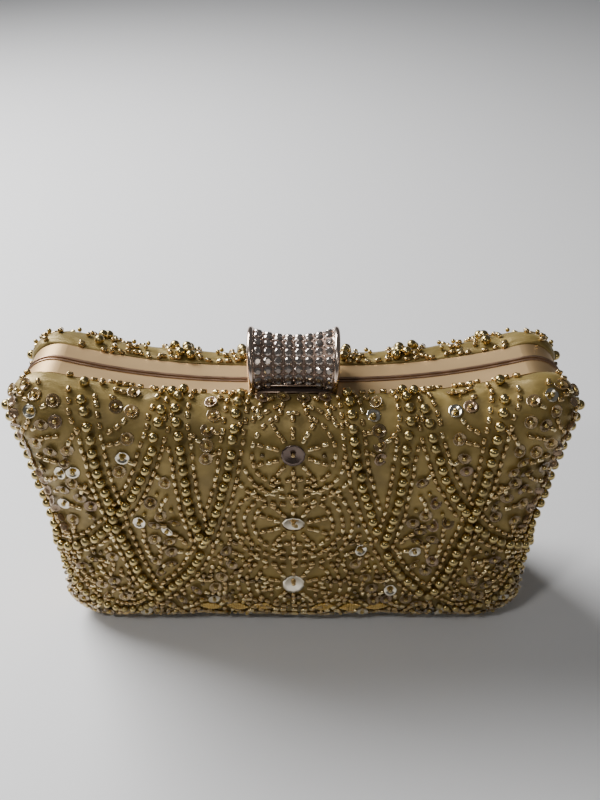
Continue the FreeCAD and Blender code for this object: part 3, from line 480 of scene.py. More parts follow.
def blow_up(points, flats, shares):
    """How far air pressure lifts the satin between its stitches: a cloth simulation.

    It runs on every second line of the grid, and is read back as a movement of every
    point of the grid.
    """
    wide = COLUMNS + 1
    kept = [row * wide + column for row in range(0, ROWS + 1, 2)
            for column in range(0, wide, 2)]
    start = points[kept] * SIM_SCALE
    mesh = bpy.data.meshes.new("satin_sim")
    mesh.from_pydata([tuple(p) for p in start], [], grid_quads(ROWS // 2, COLUMNS // 2))
    cloth = add_object("satin_sim", mesh)
    stitched = cloth.vertex_groups.new(name="stitched")
    for k, index in enumerate(kept):
        x, z = flats[index]
        if (shares[index] > HELD_SHARE or distance_to_lines(x, z) < HELD_NEAR
                or chance.random() < HELD_CHANCE):
            stitched.add([k], 1.0, "REPLACE")
    settings = cloth.modifiers.new("cloth", "CLOTH").settings
    for name, value in CLOTH_SETTINGS.items():
        setattr(settings, name, value)
    settings.effector_weights.gravity = 0
    for frame_number in range(1, SIM_FRAMES + 1):
        bpy.context.scene.frame_set(frame_number)
    graph = bpy.context.evaluated_depsgraph_get()
    after = np.empty(len(kept) * 3)
    cloth.evaluated_get(graph).data.vertices.foreach_get("co", after)
    moved = (after.reshape(-1, 3) - start) / SIM_SCALE
    bpy.context.scene.frame_set(1)
    bpy.data.objects.remove(cloth)
    far = np.linalg.norm(moved, axis=1)
    moved *= (np.minimum(far, SIM_CAP) / np.maximum(far, TINY))[:, None]
    moved *= np.clip((1 - shares[kept]) * SIM_FADE, 0, 1)[:, None]
    coarse = moved.reshape(ROWS // 2 + 1, COLUMNS // 2 + 1, 3)
    for _ in range(SIM_SMOOTHINGS):
        padded = np.pad(coarse, ((1, 1), (1, 1), (0, 0)), mode="edge")
        coarse = (padded[:-2, 1:-1] + padded[2:, 1:-1] + padded[1:-1, :-2]
                  + padded[1:-1, 2:] + 2 * coarse) / 6
    fine = np.zeros((ROWS + 1, wide, 3))
    fine[::2, ::2] = coarse
    fine[1::2, ::2] = (coarse[:-1] + coarse[1:]) / 2
    fine[:, 1::2] = (fine[:, :-1:2] + fine[:, 2::2]) / 2
    return fine.reshape(-1, 3)


points, flats, shares, faces = grid_sheet(COVER)
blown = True
start_points = points + blow_up(points, flats, shares) if blown else points
normals = outward(start_points, faces)
satin_points = start_points + normals * puff(flats, shares, blown)[:, None]
satin_points[:, 2] = np.maximum(satin_points[:, 2], LOWEST)
SATIN_TREE = BVHTree.FromPolygons([Vector(p) for p in satin_points], faces)
SATIN_MIDDLE = Vector((0, PARTING, MIDDLE.z))
COVER_THICKNESS = {"front": 2.9, "back": 1.2}


def thicken(cloth, name, half, thickness):
    """Thickness for a sheet, on the side towards the middle of the bag."""
    thick = cloth.modifiers.new(name, "SOLIDIFY")
    thick.thickness = thickness * MM
    thick.offset = GROWS[half]


def add_cover(half, cloud):
    """One half's satin with the wadding under it."""
    cover = mesh_object(f"{half}_satin_cover", cloud, faces, SATIN, f"{half}_half")
    thicken(cover, "padding", half, COVER_THICKNESS[half])
    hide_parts(f"{half}_cover", f"{half}_padding")


# the back half's satin lies tighter near the strip than the front's
BACK_TUCK = 1.2
TUCKED_SHARES = (0.5, 0.78, 0.95, 1.0)  # none up to here, all of it between these, none
TUCK_LOW, TUCK_FADE = 40, 30  # none below this height, all of it this much higher
drawn_in = np.interp(shares, TUCKED_SHARES, (0.0, BACK_TUCK, BACK_TUCK, 0.0))
BACK_SHIFT = -outward(satin_points, faces) * drawn_in[:, None]
BACK_SHIFT *= np.clip((satin_points[:, 2] - TUCK_LOW) / TUCK_FADE, 0, 1)[:, None]
SATIN_POINTS_TREE = KDTree(len(satin_points))
for index, point in enumerate(satin_points):
    SATIN_POINTS_TREE.insert(point, index)
SATIN_POINTS_TREE.balance()

add_cover("front", satin_points)
add_cover("back", to_back(satin_points + BACK_SHIFT))


# ---- lining

LINING_LIFT = 0.25  # of the lining over its shell
LINING_WAVES = (16.0, 9.0, 2)  # wide, tall, layer of the soft waves and of the creases
LINING_WAVE_HEIGHT = 0.25
LINING_CREASES = (7.0, 4.0, 8)
LINING_CREASE_HEIGHT = 0.35
LINING_FADE = 10  # flat over the last 1/10 of the way to the edge
LINING_THICKNESS = 0.4


def add_linings():
    """Satin glued inside each shell, slightly puckered."""
    inside = Unrolled(node_tree_mm("back_lining", mirrored=True), from_inside=True)
    cloud, spots, share_list, quads = grid_sheet(inside)
    inward = -outward(cloud, quads)
    lift = []
    for (x, z), share in zip(spots, share_list):
        height = LINING_LIFT + LINING_WAVE_HEIGHT * ripple(x, z, *LINING_WAVES)
        height += LINING_CREASE_HEIGHT * abs(ripple(x, z, *LINING_CREASES))
        lift.append(height * min(1.0, (1 - share) * LINING_FADE))
    cloud = cloud + inward * np.array(lift)[:, None]
    for half, points_there in (("front", cloud), ("back", to_back(cloud))):
        cloth = mesh_object(f"{half}_lining_cloth", points_there, quads, LINING,
                            f"{half}_half")
        thicken(cloth, "cloth", half, LINING_THICKNESS)
        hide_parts(f"{half}_lining")


add_linings()


# ---- bead shapes

def ring(radius, height, count, turn=0.0):
    """The corners of a regular polygon round Z."""
    angles = [2 * math.pi * (k + turn) / count for k in range(count)]
    return [(radius * math.cos(a), radius * math.sin(a), height) for a in angles]


def join_rings(rings, sides):
    """Faces between rings of corners, one above the other; one corner alone is a pole."""
    joined = []
    for low, high in zip(rings, rings[1:]):
        for k in range(sides):
            m = (k + 1) % sides
            corners = (low[k % len(low)], low[m % len(low)], high[m % len(high)],
                       high[k % len(high)])
            joined.append(tuple(dict.fromkeys(corners)))
    return joined


def revolve(profile, sides):
    """A turned shape about Z from (radius, height) pairs; radius 0 makes a pole."""
    verts, rings = [], []
    for radius, height in profile:
        corners = ring(radius, height, sides if radius else 1)
        rings.append(range(len(verts), len(verts) + len(corners)))
        verts += corners
    return np.array(verts, dtype=float), join_rings(rings, sides)


def ball(radius, sides, rings):
    """A round bead."""
    profile = []
    for k in range(rings + 1):
        a = math.pi * k / rings - math.pi / 2
        profile.append((0 if k in (0, rings) else radius * math.cos(a), radius * math.sin(a)))
    return revolve(profile, sides)


TUBE_SOFTNESS = 0.3  # width of its softened ends, as a share of its radius
CUP_THICKNESS = 0.12
CUP_UNDER = ((0, 1), (0.45, 0.8), (0.8, 0.3), (1, 0))  # shares of radius and of depth
CUP_OVER = ((1, 0), (0.78, 0.25), (0.42, 0.75), (0, 1))


def tube(radius, half_length, sides):
    """A short glass tube along Z with softened ends."""
    soft = radius * TUBE_SOFTNESS
    return revolve([(0, -half_length), (radius - soft, -half_length),
                    (radius, -half_length + soft), (radius, half_length - soft),
                    (radius - soft, half_length), (0, half_length)], sides)


def cup(radius, depth, sides):
    """A cupped sequin with its hollow up."""
    under = [(radius * out, -depth * down) for out, down in CUP_UNDER]
    over = [(radius * out, CUP_THICKNESS - depth * down) for out, down in CUP_OVER]
    return revolve(under + over, sides)


# the radius comes first, then half a tube's length or a cup's depth, then numbers of sides
SHAPES = {
    "big": ball(1.98, 16, 10), "string_bead": ball(1.5, 12, 8), "seed": ball(0.95, 8, 6),
    "tiny": ball(0.6, 8, 5), "claw": ball(0.42, 8, 6), "bugle": tube(0.92, 1.2, 8),
    "cup": cup(2.6, 0.8, 14), "small_cup": cup(1.9, 0.6, 12), "paillette": cup(4.5, 0.9, 10),
}
TUBES = {"shape": "bugle", "finish": "lined_glass", "second": "lined_glass_pale"}
SEEDS = {"shape": "seed", "finish": "peach_seed", "second": "yellow_seed"}
SEED_TONES = ("peach_seed", "yellow_seed", "bronze_seed")
TUBE_TONES = ("lined_glass", "lined_glass_pale", "lined_glass_dark")
placed = {}  # (shape, finish) -> list of (position, 3 axes) on the front cover
taken = []  # flat x, z and radius of everything that later beads keep clear of


def stand(x, z, lift):
    """(position, outward normal) of a bead over a flat point, lift above the satin."""
    spot = Vector(COVER.flat(x, z))
    found, normal, _, _ = SATIN_TREE.find_nearest(spot)
    if normal.dot(found - SATIN_MIDDLE) < 0:
        normal = -normal
    return found + normal * lift, normal


def axes_along(normal, ahead):
    """A turn whose Z runs ahead over the surface and whose Y is the normal."""
    z = (ahead - normal * ahead.dot(normal)).normalized()
    x = normal.cross(z)
    return Matrix((x, normal, z)).transposed()


def axes_up(normal, tilt=0.0):
    """A turn whose Z is the normal, tipped a little any way."""
    lean = Vector([chance.gauss(0, tilt) for _ in range(3)])
    z = (normal + lean).normalized()
    x = z.orthogonal().normalized()
    turn = Matrix((x, z.cross(x), z)).transposed()
    return turn @ Matrix.Rotation(chance.uniform(0, 2 * math.pi), 3, "Z")


def stitch(shape, finish, x, z, lift, claim=0.0, tilt=0.0, ahead=None, lowest=-OUTSIDE):
    """One bead over a flat point, lift above the satin; later beads keep clear of its claim.

    It stands on the satin, tipped at random by tilt, or lies along ahead.
    """
    position, normal = stand(x, z, lift)
    position.z = max(position.z, lowest)
    turn = axes_up(normal, tilt) if ahead is None else axes_along(normal, ahead)
    placed.setdefault((shape, finish), []).append((position, turn))
    if claim:
        taken.append((x, z, claim))


def free(x, z, radius, slack=0.0):
    """True if nothing placed lies within radius of a flat point."""
    if not taken:
        return True
    there = np.array(taken)
    apart = np.hypot(there[:, 0] - x, there[:, 1] - z)
    return bool((apart > there[:, 2] + radius - slack).all())


def rim_room(x, z):
    """Distance over the surface from a flat point to the cover's edge."""
    angle = math.atan2(z - MIDDLE.z, x) % (2 * math.pi)
    return COVER.reaches(angle)[-1] - math.hypot(x, z - MIDDLE.z)


def spaced(line, gap, start=0.0):
    """(flat point, direction ahead) every gap along a line, by true distance."""
    spots = [Vector(COVER.flat(x, z)) for x, z in line]
    along = np.cumsum([0] + [(b - a).length for a, b in zip(spots, spots[1:])])
    found = []
    for k in range(int((along[-1] - start) / gap) + 1):
        i = max(1, min(int(np.searchsorted(along, start + k * gap)), len(line) - 2))
        found.append((line[i], spots[i + 1] - spots[i - 1]))
    return found


STRAY = 0.16  # how far a bead strays from its line
WOBBLE = 0.06  # spread of its height, and of its direction
SECOND_SHARE = 0.25  # share of a string's beads that have its second finish
CLASP_HALF_WIDTH, CLASP_FOOT = 19, 100  # flat points between and above are by the clasp
CLASP_ROOM = 4.0  # small beads by the clasp keep this far from the cover's edge
EDGE_GAP = 0.2  # between other beads and the cover's edge


def by_clasp(x, z):
    return abs(x) < CLASP_HALF_WIDTH and z > CLASP_FOOT


def string_of(line, shape, finish, second, gap, lift, radius, slack, start=0.0, spread=0.0):
    """Beads along a line, each where it has room; spread moves the start at random."""
    if spread:
        start = chance.uniform(0, spread)
    for (x, z), ahead in spaced(line, gap, start):
        x += chance.gauss(0, STRAY)
        z += chance.gauss(0, STRAY)
        room = CLASP_ROOM if by_clasp(x, z) and shape != "big" else radius + EDGE_GAP
        if not free(x, z, radius, slack) or rim_room(x, z) < room:
            continue
        height = lift + chance.gauss(0, WOBBLE)
        ahead = ahead + Vector([chance.gauss(0, WOBBLE) * ahead.length for _ in range(3)])
        tone = second if chance.random() < SECOND_SHARE else finish
        stitch(shape, tone, x, z, height, claim=radius, ahead=ahead)


def both(line):
    """A line on the right half and its mirror image on the left."""
    return (np.array(line), mirrored(line))


def string_pair(line, **string):
    for one in both(line):
        string_of(one, **string)


MAIN_STRINGS = ("outer_v", "inner_v", "outer_leaf", "inner_leaf", "stem")
STRING_GAP = 4.65  # between the middles of the large beads,
STRING_GAPS = {"corner": 3.5, "edge": 4.5, "stem": 4.3}  # but on these strings
SIDE_ROW = 3.9  # from a string to the tube beads beside it
CORNER_ROW = -2.9  # from the corner string to the seed beads inside it
EDGE_ROW = 3.4  # from the edge string to the tube beads inside it


def add_strings():
    """The strings of large beads and the rows of small ones beside them."""
    for name in (*MAIN_STRINGS, "edge", "corner"):
        string_pair(LINES[name], shape="string_bead" if name == "corner" else "big",
                    finish="antique_gold", second="antique_gold_worn",
                    gap=STRING_GAPS.get(name, STRING_GAP), lift=1.62, radius=1.7, slack=0.45)
    for name in MAIN_STRINGS:
        for side in (1, -1):
            string_pair(beside(LINES[name], side * SIDE_ROW), gap=3.7, lift=0.8, radius=1.05,
                        slack=0.5, spread=2, **TUBES)
    string_pair(beside(LINES["corner"], CORNER_ROW), gap=1.9, lift=0.6, radius=0.8,
                slack=0.4, **SEEDS)
    string_pair(beside(LINES["edge"], EDGE_ROW), gap=2.9, lift=0.7, radius=0.9, slack=0.5,
                **TUBES)


def arc(centre, radius, start, end):
    """Flat points round a centre, angles in degrees from +x towards +z."""
    count = max(6, int(abs(end - start) / 360 * 2 * math.pi * radius / STITCH_STEP))
    return np.array([(centre[0] + radius * math.cos(math.radians(a)),
                      centre[1] + radius * math.sin(math.radians(a)))
                     for a in np.linspace(start, end, count)])


SPOKES = 10
SPOKE_START, SPOKE_END = 6.1, 13.0
RINGS = (15.0, 18.8, 22.6)
RING_GAP, RING_TIGHTER = 3.8, 0.1  # gap of the first ring, and how much less on each next one


def add_flower(number, centre):
    """A large sequin, ten spokes of tube beads, and rings of them round it."""
    x, z = centre
    stitch("paillette", "plum_cup" if number == 0 else "silver_cup", x, z, lift=0.9,
           claim=4.4, tilt=0.12)
    stitch("seed", "peach_seed", x, z, lift=0.9)
    for spoke in range(SPOKES):
        a = 2 * math.pi * (spoke + 0.5) / SPOKES
        ahead = np.array((math.cos(a), math.sin(a)))
        line = np.array([centre + ahead * r for r in np.linspace(SPOKE_START, SPOKE_END, 14)])
        string_of(line, gap=3.1, lift=0.75, radius=1.0, slack=0.6, **TUBES)
    for ring, around in enumerate(RINGS):
        for start, end in ((-90, 90), (-90, -270)):
            string_of(arc(centre, around, start, end), gap=RING_GAP - RING_TIGHTER * ring,
                      lift=0.75, radius=1.0, slack=0.3, start=0.4, **TUBES)


# ---- fillings

# flat outline on the right half, gap between beads, share of the tries that are for sequins
AREAS = {
    "top_corner": ([(81, 119), (75, 100), (72, 78), (70, 66), (80, 57), (92, 50), (96, 66),
                    (103, 92), (106, 118), (98, 124)], 6.2, 0.9),
    "inner_v": ([(51, 119), (54, 104), (62, 84), (67, 84), (70, 104), (75, 119)], 5.4, 0.9),
    "leaf": ([(25, 119), (25, 104), (30, 80), (35, 58), (37, 74), (38, 98), (42, 119)],
             5.4, 0.8),
    "between": ([(44, 102), (47, 98), (55, 82), (66, 64), (62, 52), (57, 34), (54, 27),
                 (44, 40), (39, 52), (42, 74)], 4.6, 0.55),
    "low_corner": ([(95, 41), (88, 30), (79, 20), (66, 16), (58, 23), (64, 40), (69, 62),
                    (80, 51)], 2.4, 0.25),
    "low_middle": ([(0, 14), (0, 22), (14, 40), (20, 78), (24, 78), (33, 50), (46, 28),
                    (50, 20), (44, 13)], 2.4, 0.12),
    "foot": ([(0, 15), (44, 13), (50, 20), (55, 20), (64, 12), (80, 14), (93, 28),
              (102, 22), (94, 4), (80, -4), (0, -4)], 2.2, 0.03),
    "top_middle": ([(0, 121), (20, 121), (19, 104), (22, 84), (14, 80), (0, 78)], 4.6, 0.3),
    "side": ([(100, 44), (98, 56), (103, 78), (109, 104), (112, 122), (128, 124), (118, 90),
              (116, 58), (110, 32), (98, 12), (88, 14), (94, 30)], 3.6, 0.5),
}


def inside(polygon, x, z):
    """Even-odd test of a flat point."""
    found = False
    for (x1, z1), (x2, z2) in zip(polygon, polygon[1:] + polygon[:1]):
        if (z1 > z) != (z2 > z) and x < (x2 - x1) * (z - z1) / (z2 - z1) + x1:
            found = not found
    return found


CUP_FINISHES = ("silver_cup", *["gold_cup"] * 4, *["bronze_cup"] * 3, "rosy_cup")
STEM_TONES = ("lined_glass", "lined_glass", "lined_glass_pale")
CUP_CLAIM = 2.3
STEM_BEADS, STEM_START, STEM_STEP = 3, 3.5, 2.75
STEM_BEND = 0.12  # radians from one bead to the next
STEM_ROOM = 2.5  # a stem ends this far from the cover's edge,
STEM_SIDE = 1.5  # or from the middle line


def sprig(x, z, angle):
    """A cupped sequin on a short stem of tube beads, on both sides of the middle line."""
    for side in (1, -1):
        stitch("cup", chance.choice(CUP_FINISHES), x * side, z, lift=0.85, tilt=0.22)
        stitch("seed", "yellow_seed", x * side, z, lift=1.15, claim=CUP_CLAIM)
    for k in range(STEM_BEADS):
        reach = STEM_START + STEM_STEP * k
        bend = angle + STEM_BEND * k
        sx, sz = x + reach * math.cos(bend), z + reach * math.sin(bend)
        if not free(sx, sz, 1.0, 0.35) or rim_room(sx, sz) < STEM_ROOM or sx < STEM_SIDE:
            break
        tone = chance.choice(STEM_TONES)
        for side in (1, -1):
            stitch("bugle", tone, sx * side, sz, lift=0.75, claim=1.0,
                   ahead=Vector((math.cos(bend) * side, 0, math.sin(bend))))


TRY_DENSITY = 1.2  # tries per square millimetre
TUBE_SHARE = 0.45
CUP_SIDE, CUP_ROOM = 2.5, 3.5  # a sequin's least distance from the middle line and the edge
FILL_ROOM, FILL_CLASP_ROOM = 2.8, 4.2  # a bead's from the edge, and by the clasp


def fill_area(polygon, gap, sequin_share):
    """Sequins on stems first, then tube and seed beads in what is left."""
    xs, zs = zip(*polygon)
    tries = int((max(xs) - min(xs)) * (max(zs) - min(zs)) * TRY_DENSITY)
    for _ in range(int(tries * sequin_share)):
        x = chance.uniform(min(xs), max(xs))
        z = chance.uniform(min(zs), max(zs))
        if (abs(x) > CUP_SIDE and inside(polygon, x, z) and rim_room(x, z) > CUP_ROOM
                and free(x, z, CUP_CLAIM, -0.5)):
            sprig(x, z, chance.uniform(0, 2 * math.pi))
    for _ in range(tries):
        x = chance.uniform(min(xs), max(xs))
        z = chance.uniform(min(zs), max(zs))
        room = FILL_CLASP_ROOM if by_clasp(x, z) else FILL_ROOM
        if not inside(polygon, x, z) or rim_room(x, z) < room or not free(x, z, gap / 2, -0.1):
            continue
        long = chance.random() < TUBE_SHARE
        turn = chance.uniform(0, math.pi)
        tone = chance.choice((0, 1, 2))
        for side in (1, -1):
            if long:
                stitch("bugle", TUBE_TONES[tone], x * side, z, lift=0.65, claim=0.9,
                       ahead=Vector((math.cos(turn) * side, 0, math.sin(turn))))
            else:
                stitch("seed", SEED_TONES[tone], x * side, z, lift=0.65, claim=0.9)


def below_edge(x, room, high, step):
    """The highest flat z over x, from high down in steps, that is room from the edge."""
    z = high
    while rim_room(x, z) < room:
        z -= step
    return z


CUP_ROW, CUP_ROW_GAP = 6.4, 4.4  # from the edge string to the small sequins
BAND_ROWS = (5.4, 7.1)  # from the edge string to the rows of seed beads
TOP_ROW_ROOM = 2.0  # from the cover's edge to the row beside the strip
TOP_ROW_START, TOP_ROW_END = 20, 92.1


def add_rim_band():
    """The crowded band inside the edge string, and a row along the strip at the top."""
    for line in both(beside(LINES["edge"], CUP_ROW)):
        for (x, z), _ in spaced(line, CUP_ROW_GAP):
            if free(x, z, 1.9, 0.9):
                stitch("small_cup", "rosy_cup", x, z, lift=1.1, claim=1.6, tilt=0.5)
    top = np.array([(x, below_edge(x, TOP_ROW_ROOM, high=135.0, step=0.25))
                    for x in np.arange(TOP_ROW_START, TOP_ROW_END, STITCH_STEP)])
    string_pair(top, gap=4.4, lift=0.7, radius=1.0, slack=0.3, start=1.0, **TUBES)
    for distance in BAND_ROWS:
        string_pair(beside(LINES["edge"], distance), gap=2.3, lift=0.65, radius=0.8,
                    slack=0.3, spread=1.5, **SEEDS)


LEAF_PLACES = (12.5, 23.5, 34.5)  # of their middles, from the middle line
LEAF_HEIGHT = 14.8
LEAF_COLUMNS = 4  # of beads, on each side of a leaf's middle
LEAF_HALF = 2.7  # half its width in the middle
LEAF_POINT = 4.6  # columns from its middle to its point
LEAF_ALONG, LEAF_ACROSS = 0.95, 1.05  # distances between its beads
LEAF_SLANT = 0.18  # how much each column is higher than the last


def add_leaf_motifs():
    """Small leaves of tiny beads along the foot of the face."""
    for middle in LEAF_PLACES:
        for side in (1, -1):
            for along in range(-LEAF_COLUMNS, LEAF_COLUMNS + 1):
                half = LEAF_HALF * (1 - (along / LEAF_POINT) ** 2)
                rows = max(1, int(round(2 * half / LEAF_ACROSS)))
                for row in range(rows):
                    x = side * (middle + LEAF_ALONG * along)
                    z = LEAF_HEIGHT + (row - (rows - 1) / 2) * LEAF_ACROSS + LEAF_SLANT * along
                    stitch("tiny", "leaf_gold", x, z, lift=0.55, claim=0.5)


FOOT_ROWS = ((0.0, 2.05), (2.0, 2.1))  # height over the lowest row, gap between beads
FOOT_HALF_WIDTH = 84.0
FOOT_LOW = 1.35  # height of the lowest row's beads over the floor
LOWEST_SEED = 1.3


def add_foot_rows():
    """Rows of seeds as low as they can go without meeting the floor."""
    for rise, gap in FOOT_ROWS:
        for x in np.arange(1.0, FOOT_HALF_WIDTH, gap):
            for z in np.arange(18.0, -8.0, -0.3):
                position, _ = stand(x, z, 0.65)
                if position.z < FOOT_LOW + rise:
                    break
            for side in (1, -1):
                if free(x * side, z, 0.85, 0.3):
                    stitch("seed", chance.choice(SEED_TONES), x * side, z, lift=0.65,
                           claim=0.9, lowest=LOWEST_SEED)


TOP_SEQUINS = (4.2, 12.8)  # from the middle line
TOP_SEQUIN_ROOM = 5.6  # from the cover's edge


def add_top_sequins():
    """A row of sequins just under the clasp."""
    for x in TOP_SEQUINS:
        sprig(x, below_edge(x, TOP_SEQUIN_ROOM, high=121.0, step=0.3), -math.pi / 2)


add_strings()
add_top_sequins()
for number, centre in enumerate(FLOWERS):
    add_flower(number, centre)
add_leaf_motifs()
add_foot_rows()
add_rim_band()
for polygon, gap, sequin_share in AREAS.values():
    fill_area(polygon, gap, sequin_share)


# ---- bead meshes

FLOOR_GAP = 0.3
UNDER_HEIGHT, UNDER_DEPTH = 5, -14  # lower and nearer the parting than this is under the bag
TOP_HEIGHT, TOP_SHARE = 95, 0.55  # higher and farther out than this is beside the strip


def clears(position, reach):
    """False for a bead that would meet the floor or the other half's beads."""
    under = position.z < UNDER_HEIGHT and position.y > UNDER_DEPTH
    return position.z - reach >= FLOOR_GAP and not under


def at_top_rim(position):
    """True beside the strip at the top, where the back half has no sequins."""
    there = SATIN_POINTS_TREE.find(position)[1]
    return position.z > TOP_HEIGHT and shares[there] > TOP_SHARE


def replicate(name, shape, finish, places, body):
    """One mesh with a copy of a shape at every place."""
    verts, shape_faces = SHAPES[shape]
    turns = np.array([np.array(turn) for _, turn in places])
    spots = np.array([tuple(position) for position, _ in places])
    if body == "back_half":
        spots += BACK_SHIFT[[SATIN_POINTS_TREE.find(spot)[1] for spot in spots]]
    cloud = (np.einsum("nij,vj->nvi", turns, verts) + spots[:, None, :]).reshape(-1, 3) * MM
    if body == "back_half":
        cloud[:, 1] = 2 * PARTING * MM - cloud[:, 1]
        shape_faces = [face[::-1] for face in shape_faces]
    sizes = np.array([len(face) for face in shape_faces])
    corners = np.concatenate([np.array(face) for face in shape_faces])
    count = len(places)
    all_corners = (corners[None, :] + np.arange(count)[:, None] * len(verts)).ravel()
    all_sizes = np.tile(sizes, count)
    mesh = bpy.data.meshes.new(name)
    mesh.vertices.add(len(cloud))
    mesh.vertices.foreach_set("co", cloud.ravel())
    mesh.loops.add(len(all_corners))
    mesh.loops.foreach_set("vertex_index", all_corners)
    mesh.polygons.add(len(all_sizes))
    mesh.polygons.foreach_set("loop_start", np.concatenate([[0], np.cumsum(all_sizes)[:-1]]))
    mesh.update(calc_edges=True)
    mesh.validate()
    mesh.materials.append(FINISHES[finish])
    if shape == "gem":
        mesh.shade_flat()
    else:
        mesh.shade_smooth()
    made = add_object(name, mesh)
    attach(made, body)
    return made


for (shape, finish), places in placed.items():
    reach = float(np.abs(SHAPES[shape][0]).max())
    kept = [place for place in places if clears(place[0], reach)]
    replicate(f"front_{shape}_{finish}", shape, finish, kept, "front_half")
    if shape in ("cup", "small_cup"):
        kept = [place for place in kept if not at_top_rim(place[0])]
    replicate(f"back_{shape}_{finish}", shape, finish, kept, "back_half")


# ---- rolled lip at the parting, in rose gold darkened as painted shade

PARTING_LIPS = (("front", -0.85, 0.42), ("back", 0.95, 0.6))  # half, y, radius
LIP_RISE = 0.12  # from the strip's face to its middle
LIP_FOOT = 9.0  # it ends at this height on both sides
LIP_SIDES = 8
LIP_STEP = 0.5  # degrees round the bag from one of its points to the next


def add_parting_lip(half, depth, lip_radius):
    """A thin rolled edge round one half's strip, beside the parting; its darkened rose gold is
    painted shade.
    """
    tree = node_tree_mm(f"{half}_frame")
    centre = Vector((0, depth, MIDDLE.z))
    line = []
    for step in range(int(360 / LIP_STEP) + 1):
        angle = math.radians(-90 + LIP_STEP * step)
        ray = Vector((math.cos(angle), 0, math.sin(angle)))
        found = tree.ray_cast(centre + ray * OUTSIDE, -ray)[0]
        if found is not None and found.z > LIP_FOOT and (found - centre).dot(ray) > 0:
            line.append(found)
    tangents = np.gradient(np.array([tuple(p) for p in line]), axis=0)
    verts, rings = [], []
    across = Vector((0, 1, 0))
    for spot, tangent in zip(line, tangents):
        out = across.cross(Vector(tangent).normalized()).normalized()
        if out.dot(spot - centre) < 0:
            out = -out
        rings.append(range(len(verts), len(verts) + LIP_SIDES))
        verts += [spot + out * (LIP_RISE + a) + across * b
                  for a, b, _ in ring(lip_radius, 0, LIP_SIDES)]
    ends = [tuple(rings[0]), tuple(reversed(rings[-1]))]
    mesh_object(f"{half}_parting_lip", verts, join_rings(rings, LIP_SIDES) + ends, PARTING_SHADE_METAL,
                f"{half}_half")


for lip in PARTING_LIPS:
    add_parting_lip(*lip)


# ---- clasp stones

SPOOL_HEIGHT = 117.7  # of its axis
SPOOL_WAIST, SPOOL_RIM = 9.2, 11.9  # its least and largest radius
SPOOL_TOP_WIDTH, SPOOL_FOOT_WIDTH = 16.0, 14.9  # half its width, above and below
STONE_RADIUS = 1.62
STONE_PITCH = 3.75
STONE_ROWS = 8  # and as many stones in a row
FIRST_ROW, ROW_STEP = -27.0, 20.0  # degrees from the front over the top
GEM_SIDES = 16
GEM_RINGS = ((0.55, 0.85, 0.5, 8), (0.82, 0.55, 0.0, 8), (1.0, 0.16, 0.5, GEM_SIDES),
             (1.0, -0.3, 0.5, GEM_SIDES))  # share of the radius, height, turn, corners
STONE_LIFT, CLAW_LIFT, BED_LIFT = 0.1, 0.2, 0.08
BED_START, BED_END, BED_HALF = -37.0, 124.0, 14.2
BED_ROWS, BED_COLUMNS = 40, 16


def gem():
    """A round brilliant: table, crown facets and a girdle."""
    verts, rings = [], []
    for share, height, turn, corners in GEM_RINGS:
        rings.append(range(len(verts), len(verts) + corners))
        verts += ring(STONE_RADIUS * share, height, corners, turn)
    table, kite, girdle, foot = rings
    gem_faces = [tuple(table)]
    for k, corner in enumerate(kite):
        after, side = kite[(k + 1) % len(kite)], girdle[2 * k + 1]
        gem_faces += [(table[k - 1], corner, table[k]), (corner, after, table[k]),
                      (corner, girdle[2 * k], side), (corner, side, after),
                      (side, girdle[(2 * k + 2) % GEM_SIDES], after)]
    gem_faces += join_rings([foot, girdle], GEM_SIDES) + [tuple(reversed(foot))]
    return np.array(verts), gem_faces


def on_spool(angle, x, lift):
    """(position, 3 axes) on the hollow face, angle from the front over the top."""
    a = math.radians(angle)
    half = SPOOL_FOOT_WIDTH + (SPOOL_TOP_WIDTH - SPOOL_FOOT_WIDTH) * (math.sin(a) + 1) / 2
    depth = SPOOL_RIM - SPOOL_WAIST
    hollow = (half ** 2 + depth ** 2) / (2 * depth)
    drop = math.sqrt(hollow ** 2 - x ** 2)
    out = Vector((0, -math.cos(a), math.sin(a)))
    normal = (out - Vector((1, 0, 0)) * (x / drop)).normalized()
    across = (Vector((1, 0, 0)) - normal * normal.x).normalized()
    turn = Matrix((across, normal.cross(across), normal)).transposed()
    face = Vector((x, 0, SPOOL_HEIGHT)) + out * (SPOOL_WAIST + hollow - drop)
    return face + normal * lift, turn


def add_stones():
    """Stones in eight rows on a dark bed, with small claws between them."""
    SHAPES["gem"] = gem()
    gems, claws = [], []
    for row in range(STONE_ROWS + 1):
        angle = FIRST_ROW + ROW_STEP * row
        for column in range(STONE_ROWS + 1):
            x = (column - (STONE_ROWS - 1) / 2) * STONE_PITCH
            if row < STONE_ROWS and column < STONE_ROWS:
                place, turn = on_spool(angle, x, STONE_LIFT)
                gems.append((place, turn @ Matrix.Rotation(chance.uniform(0, 1), 3, "Z")))
            claws.append(on_spool(angle - ROW_STEP / 2, x - STONE_PITCH / 2, CLAW_LIFT))
    stones = replicate("clasp_stones", "gem", "clear_stone", gems, "clasp")
    replicate("clasp_claws", "claw", "clasp_metal", claws, "clasp")
    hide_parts("clasp_rhinestones")
    bed = []
    for row in range(BED_ROWS + 1):
        angle = BED_START + (BED_END - BED_START) * row / BED_ROWS
        for column in range(BED_COLUMNS + 1):
            x = BED_HALF * (2 * column / BED_COLUMNS - 1)
            bed.append(on_spool(angle, x, BED_LIFT)[0])
    mesh_object("clasp_bed", bed, grid_quads(BED_ROWS, BED_COLUMNS), BED, "clasp")


FOOT_BARS = ((-9.5, 113.1, 0.45, 13.4), (-9.65, 110.2, 0.42, 14.8))  # y, z, radius, half length
GROOVE_DEPTH = -9.2
GROOVE_HOLLOW = 0.5
GROOVE_STEPS = 6


